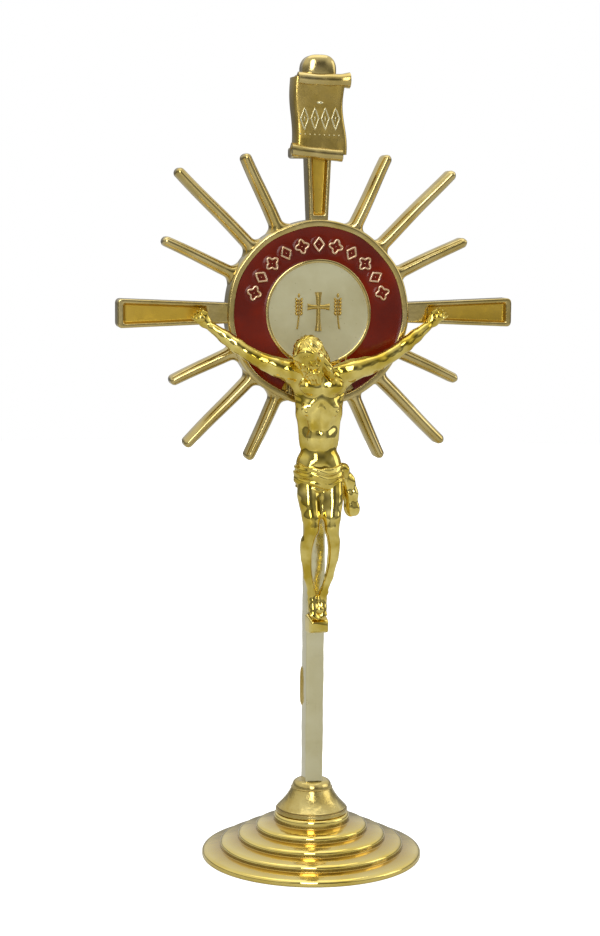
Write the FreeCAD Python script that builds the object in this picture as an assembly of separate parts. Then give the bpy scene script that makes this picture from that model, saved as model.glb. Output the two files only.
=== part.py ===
"""Sunburst table crucifix in monstrance form: a round stepped foot, a bell collar, and one upright casting that
carries crossbars, rays, an enamelled medallion, a parchment scroll and a separate cast figure held by three nails.

Frame: millimetres, +Z up, the origin at the centre of the foot's underside, the figure facing -Y.
"""

import FreeCAD, Part

import math
import os

from FreeCAD import Vector

# overall sizes
total_height = 160.0
crossbar_span = 79.0
cross_depth = 4.6
crossbar_z = 110.0

# stepped foot, a hollow shell
foot_radius = 22.2
foot_step_count = 5
foot_step_rise = 1.78
foot_seat_radius = 7.7
foot_edge_round = 0.6
foot_wall = 1.0
foot_hub_thickness = 1.6

# bell collar
collar_radius = 7.3
collar_height = 6.7
collar_neck_radius = 4.0
collar_lip_height = 0.9
collar_floor = 1.6

# stud, washers and nut under the foot
stud_radius = 1.5
stud_clearance = 0.1
stud_tail = 0.8
thread_clearance = 0.02
washer_radius = 3.5
washer_thickness = 0.5
spring_washer_radius = 2.9
spring_washer_thickness = 0.8
spring_washer_slot = 0.6
nut_flats = 5.5
nut_thickness = 2.0

# upright, crossbars and their sunk panels
stem_foot_width = 3.5
stem_top_width = 3.9
socket_clearance = 0.05
arm_root_width = 3.8
arm_end_width = 5.6
arm_corner_radius = 0.8
top_arm_root_width = 3.6
top_arm_end_width = 6.6
top_arm_corner_radius = 2.4
panel_depth = 0.7
panel_border = 0.8
arm_panel_start = 26.0
gate_boss_z = 34.5
gate_boss_length = 10.0
gate_boss_width = 4.4
gate_boss_height = 1.2

# medallion
medallion_radius = 18.3
rim_width = 1.5
rim_proud = 0.4
cup_depth = 0.8
host_radius = 9.9
wire_width = 0.6
enamel_drop = 0.15
figure_pad_width = 12.0
figure_pad_border = 0.7
figure_pad_sink = 0.5

# rays: angle from the upright, and the tip's distance from the medallion's centre
ray_angles = (25.0, 45.0, 65.0)
upper_ray_tips = (34.0, 39.2, 33.6)
lower_ray_tips = (32.0, 36.9, 32.0)
ray_root_width = 2.5
ray_tip_width = 1.9
ray_base_depth = 2.6
ray_ridge = 1.1
ray_fillet = 1.3

# raised ornament
band_motif_count = 11
band_motif_spread = 146.0
band_motif_radius = 13.4
band_motif_size = 2.2
host_cross_height = 7.6
host_cross_width = 4.4
host_bar = 0.8
wheat_offset = 3.9
wheat_height = 6.8
wheat_grain = 0.5
wheat_rows = 4

# parchment scroll in front of the top arm
scroll_width = 10.8
scroll_drop = 20.4  # from the top of the arm down to the scroll's lower edge
scroll_height = 16.8
scroll_front = 1.0
scroll_roll_radius = 1.3
scroll_roll_shift = 0.9
scroll_roll_slope = 3.0
scroll_roll_proud = 0.5
scroll_motif_count = 4
scroll_motif_height = 4.2

# figure and its nails
figure_gap = 0.2
hand_x = 23.6
hand_z = 109.2
foot_nail_z = 51.6
nail_radius = 0.45
nail_head_radius = 0.8
nail_head_height = 0.45
nail_clearance = 0.02
nail_boss_radius = 1.3
palm_depth = 2.6
instep_depth = 4.2

# values that follow from the sizes above
foot_height = foot_step_count * foot_step_rise
collar_top = foot_height + collar_height
stem_end_z = foot_height + collar_floor
scroll_base_z = total_height - scroll_drop
front = -cross_depth / 2
back = cross_depth / 2
rim_front = front - rim_proud
cup_floor = front + cup_depth
enamel_front = front - rim_proud + enamel_drop
enamel_radius = medallion_radius - rim_width
wire_radius = host_radius + wire_width
hub_underside = foot_height - foot_hub_thickness
washer_underside = hub_underside - washer_thickness
spring_underside = washer_underside - spring_washer_thickness
nut_underside = spring_underside - nut_thickness
figure_back = rim_front - figure_gap
Z_AXIS = Vector(0, 0, 1)
Y_AXIS = Vector(0, 1, 0)


def edges_to_face(edges):
    return Part.Face(Part.Wire(edges))


def polygon_xz(points, y0, y1):
    """A prism whose outline is a polygon of (x, z) points, from y0 to y1."""
    corners = [Vector(x, y0, z) for x, z in points]
    face = Part.Face(Part.makePolygon(corners + corners[:1]))
    return face.extrude(Vector(0, y1 - y0, 0))


def disc_xz(x, z, radius, y0, y1):
    return Part.makeCylinder(radius, y1 - y0, Vector(x, y0, z), Y_AXIS)


def ring_xz(outer, inner, y0, y1):
    """A flat ring about the medallion's centre."""
    return disc_xz(0, crossbar_z, outer, y0, y1).cut(disc_xz(0, crossbar_z, inner, y0 - 1, y1 + 1))


def turned(shape, angle):
    """The shape turned clockwise, as seen from the front, about the medallion's centre."""
    turned_shape = shape.copy()
    turned_shape.rotate(Vector(0, 0, crossbar_z), Y_AXIS, angle)
    return turned_shape


def round_upright_edges(solid, radius, chosen):
    """Fillets the edges parallel to Y that chosen(x, z) accepts."""
    picked = []
    for edge in solid.Edges:
        a, b = edge.Vertexes[0].Point, edge.Vertexes[-1].Point
        if abs(a.x - b.x) < 1e-6 and abs(a.z - b.z) < 1e-6 and chosen(a.x, a.z):
            picked.append(edge)
    return solid.makeFillet(radius, picked)


def foot_outline():
    """Outer profile of the stepped foot in the XZ plane, from the rim's underside up to the hub's hole."""
    tread = (foot_radius - foot_seat_radius) / (foot_step_count - 1)
    edges = []
    here = Vector(foot_radius, 0, 0)
    for step in range(foot_step_count):
        radius = foot_radius - step * tread
        top = (step + 1) * foot_step_rise
        last = step == foot_step_count - 1
        inward = stud_radius + stud_clearance if last else radius - tread
        round_start = Vector(radius, 0, top - foot_edge_round)
        round_end = Vector(radius - foot_edge_round, 0, top)
        bulge = foot_edge_round * (1 - math.sqrt(0.5))
        round_middle = Vector(radius - bulge, 0, top - bulge)
        following = Vector(inward, 0, top)
        edges.append(Part.LineSegment(here, round_start).toShape())
        edges.append(Part.Arc(round_start, round_middle, round_end).toShape())
        edges.append(Part.LineSegment(round_end, following).toShape())
        here = following
    return edges, here


def make_foot():
    """A revolved shell of even wall, thicker at the hub where it is clamped."""
    tread = (foot_radius - foot_seat_radius) / (foot_step_count - 1)
    edges, here = foot_outline()
    inner = [Vector(here.x, 0, hub_underside)]
    inner.append(Vector(foot_seat_radius - foot_wall, 0, hub_underside))
    for step in range(foot_step_count - 2, -1, -1):
        radius = foot_radius - step * tread
        top = (step + 1) * foot_step_rise - foot_wall
        inner.append(Vector(inner[-1].x, 0, top))
        inner.append(Vector(radius - foot_wall, 0, top))
    inner.append(Vector(inner[-1].x, 0, 0))
    inner.append(Vector(foot_radius, 0, 0))
    for point in inner:
        edges.append(Part.LineSegment(here, point).toShape())
        here = point
    return edges_to_face(edges).revolve(Vector(0, 0, 0), Z_AXIS, 360)


def make_collar():
    """A turned bell with a flared skirt, a rounded neck, a square socket and a bore for the stud."""
    z0 = foot_height
    lip = z0 + collar_lip_height
    shoulder = z0 + 0.76 * collar_height
    hole = stud_radius + stud_clearance
    skirt = [Vector(collar_radius, 0, lip),
             Vector(0.82 * collar_radius, 0, z0 + 0.36 * collar_height),
             Vector(collar_neck_radius + 0.3, 0, shoulder)]
    crown = [skirt[-1],
             Vector(collar_neck_radius, 0, z0 + 0.92 * collar_height),
             Vector(0.8 * collar_neck_radius, 0, collar_top)]
    edges = [Part.LineSegment(Vector(hole, 0, z0), Vector(collar_radius, 0, z0)).toShape(),
             Part.LineSegment(Vector(collar_radius, 0, z0), skirt[0]).toShape(),
             Part.Arc(*skirt).toShape(),
             Part.Arc(*crown).toShape(),
             Part.LineSegment(crown[-1], Vector(hole, 0, collar_top)).toShape(),
             Part.LineSegment(Vector(hole, 0, collar_top), Vector(hole, 0, z0)).toShape()]
    bell = edges_to_face(edges).revolve(Vector(0, 0, 0), Z_AXIS, 360)
    width = stem_foot_width + 2 * socket_clearance
    depth = cross_depth + 2 * socket_clearance
    socket = Part.makeBox(width, depth, collar_height, Vector(-width / 2, -depth / 2, stem_end_z))
    return bell.cut(socket)


def make_washer():
    disc = Part.makeCylinder(washer_radius, washer_thickness, Vector(0, 0, washer_underside))
    return disc.cut(Part.makeCylinder(stud_radius + stud_clearance, 2 * foot_height))


def make_spring_washer():
    """A split ring, flattened by the nut."""
    disc = Part.makeCylinder(spring_washer_radius, spring_washer_thickness, Vector(0, 0, spring_underside))
    ring = disc.cut(Part.makeCylinder(stud_radius + stud_clearance, 2 * foot_height))
    slot = Part.makeBox(2 * spring_washer_radius, spring_washer_slot, 2 * foot_height,
                        Vector(0, -spring_washer_slot / 2, 0))
    return ring.cut(slot)


def make_nut():
    corner = nut_flats / math.sqrt(3)
    turns = [math.radians(60 * k) for k in range(7)]
    outline = [Vector(corner * math.cos(t), corner * math.sin(t), nut_underside) for t in turns]
    hexagon = Part.Face(Part.makePolygon(outline)).extrude(Vector(0, 0, nut_thickness))
    bore = Part.makeCylinder(stud_radius + thread_clearance, 2 * foot_height)
    return hexagon.cut(bore)


def make_stem():
    """The upright below the medallion, its threaded stud and the gate boss left on its back."""
    top = crossbar_z - enamel_radius
    half_foot, half_top = stem_foot_width / 2, stem_top_width / 2
    outline = [(-half_foot, stem_end_z), (half_foot, stem_end_z), (half_foot, collar_top),
               (half_top, top), (-half_top, top), (-half_foot, collar_top)]
    bar = polygon_xz(outline, front, back)
    stud_base = nut_underside - stud_tail
    stud = Part.makeCylinder(stud_radius, stem_end_z - stud_base, Vector(0, 0, stud_base))
    reach = (gate_boss_length - gate_boss_width) / 2
    boss = [disc_xz(0, gate_boss_z - reach, gate_boss_width / 2, back - 1, back + gate_boss_height),
            disc_xz(0, gate_boss_z + reach, gate_boss_width / 2, back - 1, back + gate_boss_height),
            Part.makeBox(gate_boss_width, 1 + gate_boss_height, 2 * reach,
                         Vector(-gate_boss_width / 2, back - 1, gate_boss_z - reach))]
    return bar.multiFuse([stud] + boss)


def flared_arm(root, end, root_width, end_width, corner, panel_from, panel_to):
    """An arm along +Z from the medallion's centre, wider at its end, with a sunk panel in its front.

    root, end, panel_from and panel_to are distances from the medallion's centre.
    """
    def half_width(distance):
        share = (distance - medallion_radius) / (end - medallion_radius)
        return (root_width + (end_width - root_width) * share) / 2

    def trapezium(near, far, inset):
        a, b = half_width(near) - inset, half_width(far) - inset
        z_near, z_far = crossbar_z + near, crossbar_z + far
        return [(-a, z_near), (a, z_near), (b, z_far), (-b, z_far)]

    arm = polygon_xz(trapezium(root, end, 0), front, back)
    arm = round_upright_edges(arm, corner, lambda x, z: z > crossbar_z + end - 0.01)
    panel = polygon_xz(trapezium(panel_from, panel_to, panel_border), front - 1, front + panel_depth)
    return arm.cut(panel)


def make_arms():
    """Left and right crossbars and the top arm."""
    reach = crossbar_span / 2
    side = flared_arm(enamel_radius, reach, arm_root_width, arm_end_width, arm_corner_radius,
                      arm_panel_start, reach - 1.5 * panel_border)
    top_reach = total_height - crossbar_z
    top = flared_arm(enamel_radius, top_reach, top_arm_root_width, top_arm_end_width, top_arm_corner_radius,
                     medallion_radius + panel_border, scroll_base_z - crossbar_z - panel_border)
    return [turned(side, 90), turned(side, -90), top]


def make_ray(tip):
    """One ray along +Z: a tapering bar with a flared root and a ridged front, hipped at its tip."""
    z_root = crossbar_z + enamel_radius
    z_flare = crossbar_z + medallion_radius + ray_fillet
    z_tip = crossbar_z + tip
    a, b = ray_root_width / 2, ray_tip_width / 2
    eaves = back - ray_base_depth
    outline = [(-a - ray_fillet, z_root), (a + ray_fillet, z_root), (a, z_flare), (b, z_tip - b),
               (0.6 * b, z_tip), (-0.6 * b, z_tip), (-b, z_tip - b), (-a, z_flare)]
    bar = polygon_xz(outline, eaves, back)
    ridge_root = Vector(0, eaves - ray_ridge, z_root)
    ridge_tip = Vector(0, eaves - ray_ridge, z_tip - 2 * b)
    root_left, root_right = Vector(-a, eaves, z_root), Vector(a, eaves, z_root)
    tip_left, tip_right = Vector(-b, eaves, z_tip - b), Vector(b, eaves, z_tip - b)
    corners = [(root_left, root_right, ridge_root), (tip_left, ridge_tip, tip_right),
               (root_left, tip_left, tip_right, root_right)]
    for root_corner, tip_corner in ((root_left, tip_left), (root_right, tip_right)):
        corners.append((root_corner, ridge_root, ridge_tip))
        corners.append((root_corner, ridge_tip, tip_corner))
    faces = [Part.Face(Part.makePolygon(list(c) + [c[0]])) for c in corners]
    roof = Part.makeSolid(Part.makeShell(faces))
    return bar.fuse(roof)


def make_rays():
    rays = []
    for angle, upper, lower in zip(ray_angles, upper_ray_tips, lower_ray_tips):
        for side in (1, -1):
            rays.append(turned(make_ray(upper), side * angle))
            rays.append(turned(make_ray(lower), side * (180 - angle)))
    return rays


def figure_pad():
    """The gold field behind the figure, where the upright runs up into the medallion."""
    half = figure_pad_width / 2
    bottom, top = crossbar_z - enamel_radius - 0.5, crossbar_z - host_radius - wire_width / 2
    block = Part.makeBox(figure_pad_width, cup_floor - enamel_front + 0.5, top - bottom,
                         Vector(-half, enamel_front, bottom))
    width = figure_pad_width - 2 * figure_pad_border
    sunk = Part.makeBox(width, figure_pad_sink + 1, top - bottom,
                        Vector(-width / 2, enamel_front - 1, bottom + 1.0))
    return block.cut(sunk).common(disc_xz(0, crossbar_z, enamel_radius + 0.3, rim_front, back))


def make_medallion_cup():
    """The round cup: back plate, outer rim, the wire round the host, and the figure's pad."""
    plate = disc_xz(0, crossbar_z, medallion_radius, cup_floor, back)
    rim = ring_xz(medallion_radius, enamel_radius, rim_front, cup_floor)
    wire = ring_xz(wire_radius, host_radius, rim_front, cup_floor)
    wire = wire.cut(figure_pad())
    return [plate, rim, wire, figure_pad()]


def lozenge(x, z, half_width, half_height, y0, y1):
    points = [(x - half_width, z), (x, z - half_height), (x + half_width, z), (x, z + half_height)]
    return polygon_xz(points, y0, y1)


def band_motifs():
    """Plain ornament round the red band: four-petalled flowers and lozenges by turns."""
    motifs = []
    petal = band_motif_size / 4
    z = crossbar_z + band_motif_radius
    for k in range(band_motif_count):
        angle = band_motif_spread * (k / (band_motif_count - 1) - 0.5)
        if k % 2:
            motif = lozenge(0, z, 0.34 * band_motif_size, band_motif_size / 2, rim_front, cup_floor)
        else:
            offsets = [(petal, 0), (-petal, 0), (0, petal), (0, -petal)]
            petals = [disc_xz(dx, z + dz, petal, rim_front, cup_floor) for dx, dz in offsets]
            middle = disc_xz(0, z, 0.8 * petal, rim_front, cup_floor)
            motif = middle.multiFuse(petals)
        motifs.append(turned(motif, angle))
    return motifs


def wheat_outline(x):
    """Outline of an ear of wheat: a thin stalk, then a saw-edged head closing to a point."""
    base = crossbar_z - wheat_height / 2
    head_base = base + 0.35 * wheat_height
    pitch = 0.6 * wheat_height / wheat_rows
    right = [(0.35 * wheat_grain, base), (0.35 * wheat_grain, head_base)]
    for row in range(wheat_rows):
        z = head_base + row * pitch
        right.append((2.0 * wheat_grain, z + 0.7 * pitch))
        right.append((1.1 * wheat_grain, z + 0.8 * pitch))
    left = [(-dx, z) for dx, z in reversed(right)]
    return [(x + dx, z) for dx, z in right + [(0.0, base + wheat_height)] + left]


def host_motifs():
    """A plain cross between two ears of wheat on the host."""
    half = host_cross_height / 2
    y_span = rim_front, cup_floor
    upright = polygon_xz([(-host_bar / 2, crossbar_z - half), (host_bar / 2, crossbar_z - half),
                          (host_bar / 2, crossbar_z + half), (-host_bar / 2, crossbar_z + half)], *y_span)
    bar_z = crossbar_z + 0.2 * host_cross_height
    w = host_cross_width / 2
    bar = polygon_xz([(-w, bar_z - host_bar / 2), (w, bar_z - host_bar / 2),
                      (w, bar_z + host_bar / 2), (-w, bar_z + host_bar / 2)], *y_span)
    motifs = [upright.fuse(bar)]
    for side in (1, -1):
        motifs.append(polygon_xz(wheat_outline(side * wheat_offset), *y_span))
    return motifs


def make_scroll():
    """A parchment in front of the top arm: a plate between two slightly sloping rolls, with a row of lozenges."""
    face = front - scroll_front
    half = scroll_width / 2
    r = scroll_roll_radius
    low, high = scroll_base_z + r, scroll_base_z + scroll_height - r
    plate = polygon_xz([(-half, low), (half, low), (half, high), (-half, high)], face, back)
    axis_y = face + scroll_roll_radius - scroll_roll_proud
    pieces = [plate]
    for z, shift in ((low, -scroll_roll_shift), (high, scroll_roll_shift)):
        left = shift - half
        roll = Part.makeCylinder(r, scroll_width, Vector(left, axis_y, z), Vector(1, 0, 0))
        backing = Part.makeBox(scroll_width, back - axis_y, 2 * r, Vector(left, axis_y, z - r))
        roll = roll.fuse(backing).removeSplitter()
        roll.rotate(Vector(shift, 0, z), Y_AXIS, scroll_roll_slope)
        pieces.append(roll)
    pitch = scroll_width / (scroll_motif_count + 1)
    middle = (low + high) / 2
    for k in range(scroll_motif_count):
        x = (k - (scroll_motif_count - 1) / 2) * pitch
        pieces.append(lozenge(x, middle, 0.3 * pitch, scroll_motif_height / 2, face - 0.3, face + 0.5))
    return pieces[0].multiFuse(pieces[1:])


def nail_places():
    """Name, x and z of each nail."""
    return [("hand_nail_left", -hand_x, hand_z), ("hand_nail_right", hand_x, hand_z),
            ("foot_nail", 0.0, foot_nail_z)]


def nail_front(name):
    """Where the underside of a nail's head sits: on the instep or on the palm."""
    return front - (instep_depth if name == "foot_nail" else palm_depth)


def nail_holes():
    radius = nail_radius + nail_clearance
    return [disc_xz(x, z, radius, nail_front(name) - 5, back + 5) for name, x, z in nail_places()]


def nail_head_seats():
    """Clearance in front of the figure's bosses, where the nails' heads sit."""
    radius = nail_head_radius + nail_clearance
    return [disc_xz(x, z, radius, nail_front(name) - 5, nail_front(name)) for name, x, z in nail_places()]


def make_nail(name, x, z):
    """A domed head on the figure, a shank through figure and cross, and a tail peened over on the back."""
    y = nail_front(name)
    shank = disc_xz(x, z, nail_radius, y, back)
    dome = Part.makeSphere(nail_head_radius, Vector(0, 0, 0), Vector(0, -1, 0), 0, 90, 360)
    squash = FreeCAD.Matrix()
    squash.scale(1, nail_head_height / nail_head_radius, 1)
    dome = dome.transformGeometry(squash)
    dome.translate(Vector(x, y, z))
    tail = Part.makeCone(nail_head_radius, nail_radius, nail_head_height, Vector(x, back, z), Y_AXIS)
    return shank.multiFuse([dome, tail])


def make_cross():
    """The one upright casting: stem, crossbars, rays, medallion cup, ornament and scroll, with its nail holes."""
    cup = make_medallion_cup()
    pieces = cup[1:] + [make_stem()] + make_arms() + make_rays() + band_motifs() + host_motifs()
    pieces.append(make_scroll())
    body = cup[0].multiFuse(pieces)
    holes = nail_holes()
    return body.cut(holes[0].multiFuse(holes[1:]))


def make_enamel(outer, inner, cross):
    """A fill from the cup's floor to just under the rim, with the casting's raised ornament cut out of it."""
    fill = disc_xz(0, crossbar_z, outer, enamel_front, cup_floor)
    if inner:
        fill = fill.cut(disc_xz(0, crossbar_z, inner, enamel_front - 1, cup_floor + 1))
    return fill.cut(cross)


def limb(points):
    """A chain of tapering round bars through (x, y, z, radius) points, with a ball at each joint."""
    pieces = []
    for a, b in zip(points, points[1:]):
        start, end = Vector(*a[:3]), Vector(*b[:3])
        length = start.distanceToPoint(end)
        if a[3] == b[3]:
            pieces.append(Part.makeCylinder(a[3], length, start, end - start))
        else:
            pieces.append(Part.makeCone(a[3], b[3], length, start, end - start))
    for x, y, z, radius in points:
        pieces.append(Part.makeSphere(1.03 * radius, Vector(x, y, z)))
    return pieces


def body_loft(rings):
    """A solid skinned through level ellipses, each (x, y, z, half width, half depth)."""
    wires = []
    for x, y, z, half_width, half_depth in rings:
        ellipse = Part.Ellipse(Vector(x, y, z), half_width, half_depth)
        wires.append(Part.Wire(ellipse.toShape()))
    return Part.makeLoft(wires, True)


def make_figure():
    """The cast figure, kept plain: torso, head, arms, legs, feet, loincloth with its knot, and nail bosses."""
    hip_z, chest_z, knee_z, ankle_z = 80.4, 94.5, 69.6, 54.2
    torso = body_loft([(-0.5, -6.3, hip_z - 4.5, 3.6, 2.9), (-0.6, -6.1, hip_z + 1.4, 4.1, 3.1),
                       (-0.5, -6.3, hip_z + 6.0, 3.5, 2.5), (-0.4, -6.9, chest_z - 3.5, 4.2, 3.0),
                       (-0.5, -7.3, chest_z + 1.0, 4.8, 3.3), (-0.9, -7.6, chest_z + 4.6, 4.0, 2.4),
                       (-1.5, -8.2, chest_z + 5.8, 1.6, 1.4)])
    cloth = body_loft([(-0.6, -6.4, hip_z - 5.2, 4.4, 3.9), (-0.6, -6.3, hip_z - 2.0, 4.7, 3.9),
                       (-0.6, -6.2, hip_z + 1.6, 4.4, 3.4)])
    knot = limb([(4.2, -6.0, hip_z + 0.3, 1.3), (6.2, -5.2, hip_z - 3.5, 1.3), (6.9, -5.0, hip_z - 9.2, 1.0)])
    head = limb([(-3.0, -10.4, chest_z + 8.6, 2.9), (-2.9, -10.9, chest_z + 6.4, 2.2),
                 (-2.4, -10.8, chest_z + 3.9, 1.2)])
    neck = limb([(-1.3, -8.0, chest_z + 4.6, 1.8), (-2.6, -9.6, chest_z + 7.0, 1.8)])
    hair = limb([(-2.6, -9.4, chest_z + 9.0, 2.6), (-0.9, -8.9, chest_z + 5.0, 1.3)])
    pieces = [cloth] + knot + head + neck + hair
    for side, inward in ((-1, -0.9), (1, 0.0)):
        pieces += limb([(side * 4.0 + inward, -7.4, chest_z + 3.6, 1.9), (side * 7.4 + inward, -7.2, 99.6, 1.75),
                        (side * 14.6, -6.4, 102.2, 1.35), (side * 20.9, -4.7, 106.6, 0.95),
                        (side * 22.9, -4.2, 108.7, 1.15)])
        knee_x = side * 2.0 - 0.9
        pieces += limb([(side * 2.1 - 0.6, -6.4, hip_z - 1.0, 2.3), (knee_x, -9.6, knee_z, 1.75),
                        (side * 2.1 - 0.5, -7.4, 63.0, 1.5), (side * 1.1 - 0.4, -5.4, ankle_z, 1.05)])
    feet = limb([(-0.3, -5.6, ankle_z, 1.5), (-0.3, -5.3, foot_nail_z, 1.5), (-0.4, -5.6, 48.6, 1.25)])
    rest = polygon_xz([(-2.1, 46.2), (1.6, 46.2), (1.6, 48.6), (-2.1, 48.6)], front - 3.9, front)
    figure = torso.multiFuse(pieces + feet)
    behind = Part.makeBox(crossbar_span, 2 * foot_radius, total_height,
                          Vector(-crossbar_span / 2, figure_back, 0))
    figure = figure.cut(behind)
    bosses = [rest]
    for name, x, z in nail_places():
        bosses.append(disc_xz(x, z, nail_boss_radius, nail_front(name), front))
    figure = figure.multiFuse(bosses)
    holes = nail_holes() + nail_head_seats()
    return figure.cut(holes[0].multiFuse(holes[1:]))


def main():
    os.makedirs("parts", exist_ok=True)
    cross = make_cross()
    nodes = {
        "stepped_foot": make_foot(),
        "bell_collar": make_collar(),
        "flat_washer": make_washer(),
        "spring_washer": make_spring_washer(),
        "hex_nut": make_nut(),
        "sunburst_cross": cross,
        "red_enamel_band": make_enamel(enamel_radius, wire_radius, cross),
        "ivory_enamel_host": make_enamel(host_radius, 0, cross),
        "corpus": make_figure(),
    }
    for name, x, z in nail_places():
        nodes[name] = make_nail(name, x, z)
    for name, shape in nodes.items():
        solids = shape.Solids
        print(f"{name}: {len(solids)} solid(s), valid {shape.isValid()}, {shape.Volume:.1f} mm3")
        result = solids[0] if len(solids) == 1 else Part.makeCompound(solids)
        result.exportStep(f"parts/{name}.step")


main()
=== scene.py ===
import bmesh
import bpy
import math
import numpy as np
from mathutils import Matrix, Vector


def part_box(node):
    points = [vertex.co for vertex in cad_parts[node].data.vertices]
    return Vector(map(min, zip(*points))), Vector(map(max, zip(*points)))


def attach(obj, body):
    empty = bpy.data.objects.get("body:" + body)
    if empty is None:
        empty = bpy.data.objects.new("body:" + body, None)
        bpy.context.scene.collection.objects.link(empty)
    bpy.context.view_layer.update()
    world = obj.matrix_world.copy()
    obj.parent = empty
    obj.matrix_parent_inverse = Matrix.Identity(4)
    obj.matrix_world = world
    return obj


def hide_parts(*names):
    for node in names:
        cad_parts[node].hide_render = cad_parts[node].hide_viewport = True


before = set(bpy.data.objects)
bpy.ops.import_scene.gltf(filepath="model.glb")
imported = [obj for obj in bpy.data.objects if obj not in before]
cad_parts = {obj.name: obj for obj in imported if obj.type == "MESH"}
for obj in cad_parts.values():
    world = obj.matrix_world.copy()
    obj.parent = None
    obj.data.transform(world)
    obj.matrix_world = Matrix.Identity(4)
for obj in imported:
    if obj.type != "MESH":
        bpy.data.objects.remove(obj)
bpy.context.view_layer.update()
print("monstrance: frame loaded")

mm = 0.001                     # every shape below is worked out in millimetres
collection = bpy.context.scene.collection


def nodeBox(node):
    # a CAD node's lowest and highest corners, in millimetres
    low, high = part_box(node)
    return np.array(low) / mm, np.array(high) / mm


# places that every piece shares, read from the frame

crossHigh = nodeBox("sunburst_cross")[1]
hostLow, hostHigh = nodeBox("ivory_enamel_host")
redLow, redHigh = nodeBox("red_enamel_band")
footHigh = nodeBox("stepped_foot")[1]
collarLow, collarHigh = nodeBox("bell_collar")
topZ = crossHigh[2]
spanX = crossHigh[0]
centreZ = (hostLow[2] + hostHigh[2]) / 2
hostRadius = (hostHigh[0] - hostLow[0]) / 2
enamelRadius = (redHigh[0] - redLow[0]) / 2
enamelFront = redLow[1]
cupFloor = redHigh[1]
barDepth = 4.6
barFront = -barDepth / 2
barBack = barDepth / 2
rimFront = barFront - 0.4
rimRadius = enamelRadius + 1.5


# mesh helpers

def addPiece(name, points, faces, material, body, node=None, sharpAngle=40, paintedShade=None):
    # points in millimetres, any (..., 3) array; faces as index lists or an (n, 4) array; the last array, if
    # given, is
    # 0 to 1 for each point and darkens the gilt there as painted shade. Normals are turned outwards, shape by
    # shape
    mesh = bpy.data.meshes.new(name)
    corners = np.asarray(points, dtype=float).reshape(-1, 3) * mm
    faceList = faces.tolist() if isinstance(faces, np.ndarray) else faces
    mesh.from_pydata(corners.tolist(), [], faceList)
    if paintedShade is not None:
        shade = mesh.attributes.new("paintedShade", "FLOAT", "POINT")
        shade.data.foreach_set("value", np.asarray(paintedShade, dtype=np.float32).ravel())
    turner = bmesh.new()
    turner.from_mesh(mesh)
    bmesh.ops.recalc_face_normals(turner, faces=turner.faces)
    turner.to_mesh(mesh)
    turner.free()
    mesh.polygons.foreach_set("use_smooth", np.ones(len(mesh.polygons), dtype=bool))
    mesh.set_sharp_from_angle(angle=math.radians(sharpAngle))
    mesh.materials.append(material)
    piece = bpy.data.objects.new(name, mesh)
    collection.objects.link(piece)
    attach(piece, body)
    if node:
        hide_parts(node)
    return piece


def gridFaces(rows, columns, closeRows=False, closeColumns=False, start=0):
    # quads between neighbouring rows and columns of a grid, going round where a side is closed
    r = np.arange(rows if closeRows else rows - 1)[:, None]
    c = np.arange(columns if closeColumns else columns - 1)[None, :]
    rNext, cNext = (r + 1) % rows, (c + 1) % columns
    quads = np.stack([r * columns + c, r * columns + cNext, rNext * columns + cNext, rNext * columns + c], -1)
    return quads.reshape(-1, 4) + start


def softCorners(points, reach, steps=4):
    # each corner of the closed outline becomes a quadratic curve that starts and ends `reach` from it:
    # (1-t)^2 before + 2t(1-t) corner + t^2 after. points is (..., k, 2), reach a number or k numbers
    points = np.asarray(points, dtype=float)
    reach = np.broadcast_to(np.asarray(reach, dtype=float), points.shape[:-1])[..., None]

    def towards(other):
        step = other - points
        length = np.maximum(np.linalg.norm(step, axis=-1, keepdims=True), 1e-9)
        return points + step / length * np.minimum(reach, length * 0.48)

    before = towards(np.roll(points, 1, axis=-2))[..., None, :]
    after = towards(np.roll(points, -1, axis=-2))[..., None, :]
    t = np.linspace(0, 1, steps)[:, None]
    curve = (1 - t) ** 2 * before + 2 * t * (1 - t) * points[..., None, :] + t ** 2 * after
    return curve.reshape(points.shape[:-2] + (points.shape[-2] * steps, 2))


def softPath(points, reach, steps=4):
    # the same for an open line, whose two ends stay as they are
    rounded = softCorners(points, reach, steps)
    return np.vstack([np.asarray(points[:1], float), rounded[steps:-steps], np.asarray(points[-1:], float)])


def closedTube(sections):
    # a grid of sections (n, m, 3) closed round, with each end filled by one flat face
    rows, columns = sections.shape[:2]
    faces = gridFaces(rows, columns, closeColumns=True).tolist()
    faces.append(list(range(columns))[::-1])
    faces.append([(rows - 1) * columns + c for c in range(columns)])
    return sections.reshape(-1, 3), faces


def turnedProfile(profile, segments, axis="z", wobble=None):
    # the closed (radius, height) outline carried round an axis; wobble(angle) scales the radius
    profile = np.asarray(profile, dtype=float)
    angle = np.linspace(0, 2 * np.pi, segments, endpoint=False)[:, None]
    radius = profile[None, :, 0] * (np.ones_like(angle) if wobble is None else wobble(angle))
    height = np.broadcast_to(profile[None, :, 1], radius.shape)
    if axis == "z":
        ring = np.stack([radius * np.cos(angle), radius * np.sin(angle), height], -1)
    else:
        ring = np.stack([radius * np.sin(angle), height, centreZ + radius * np.cos(angle)], -1)
    return ring, gridFaces(segments, len(profile), closeRows=True, closeColumns=True)


def turnAboutMedallion(points, degrees):
    # clockwise as seen from the front, about the medallion's centre
    a = math.radians(degrees)
    x, z = points[..., 0], points[..., 2] - centreZ
    turned = points.copy()
    turned[..., 0] = x * math.cos(a) + z * math.sin(a)
    turned[..., 2] = centreZ - x * math.sin(a) + z * math.cos(a)
    return turned


def smoothStep(value, low, high):
    t = np.clip((value - low) / (high - low), 0, 1)
    return t * t * (3 - 2 * t)


# shared shader groups

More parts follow.
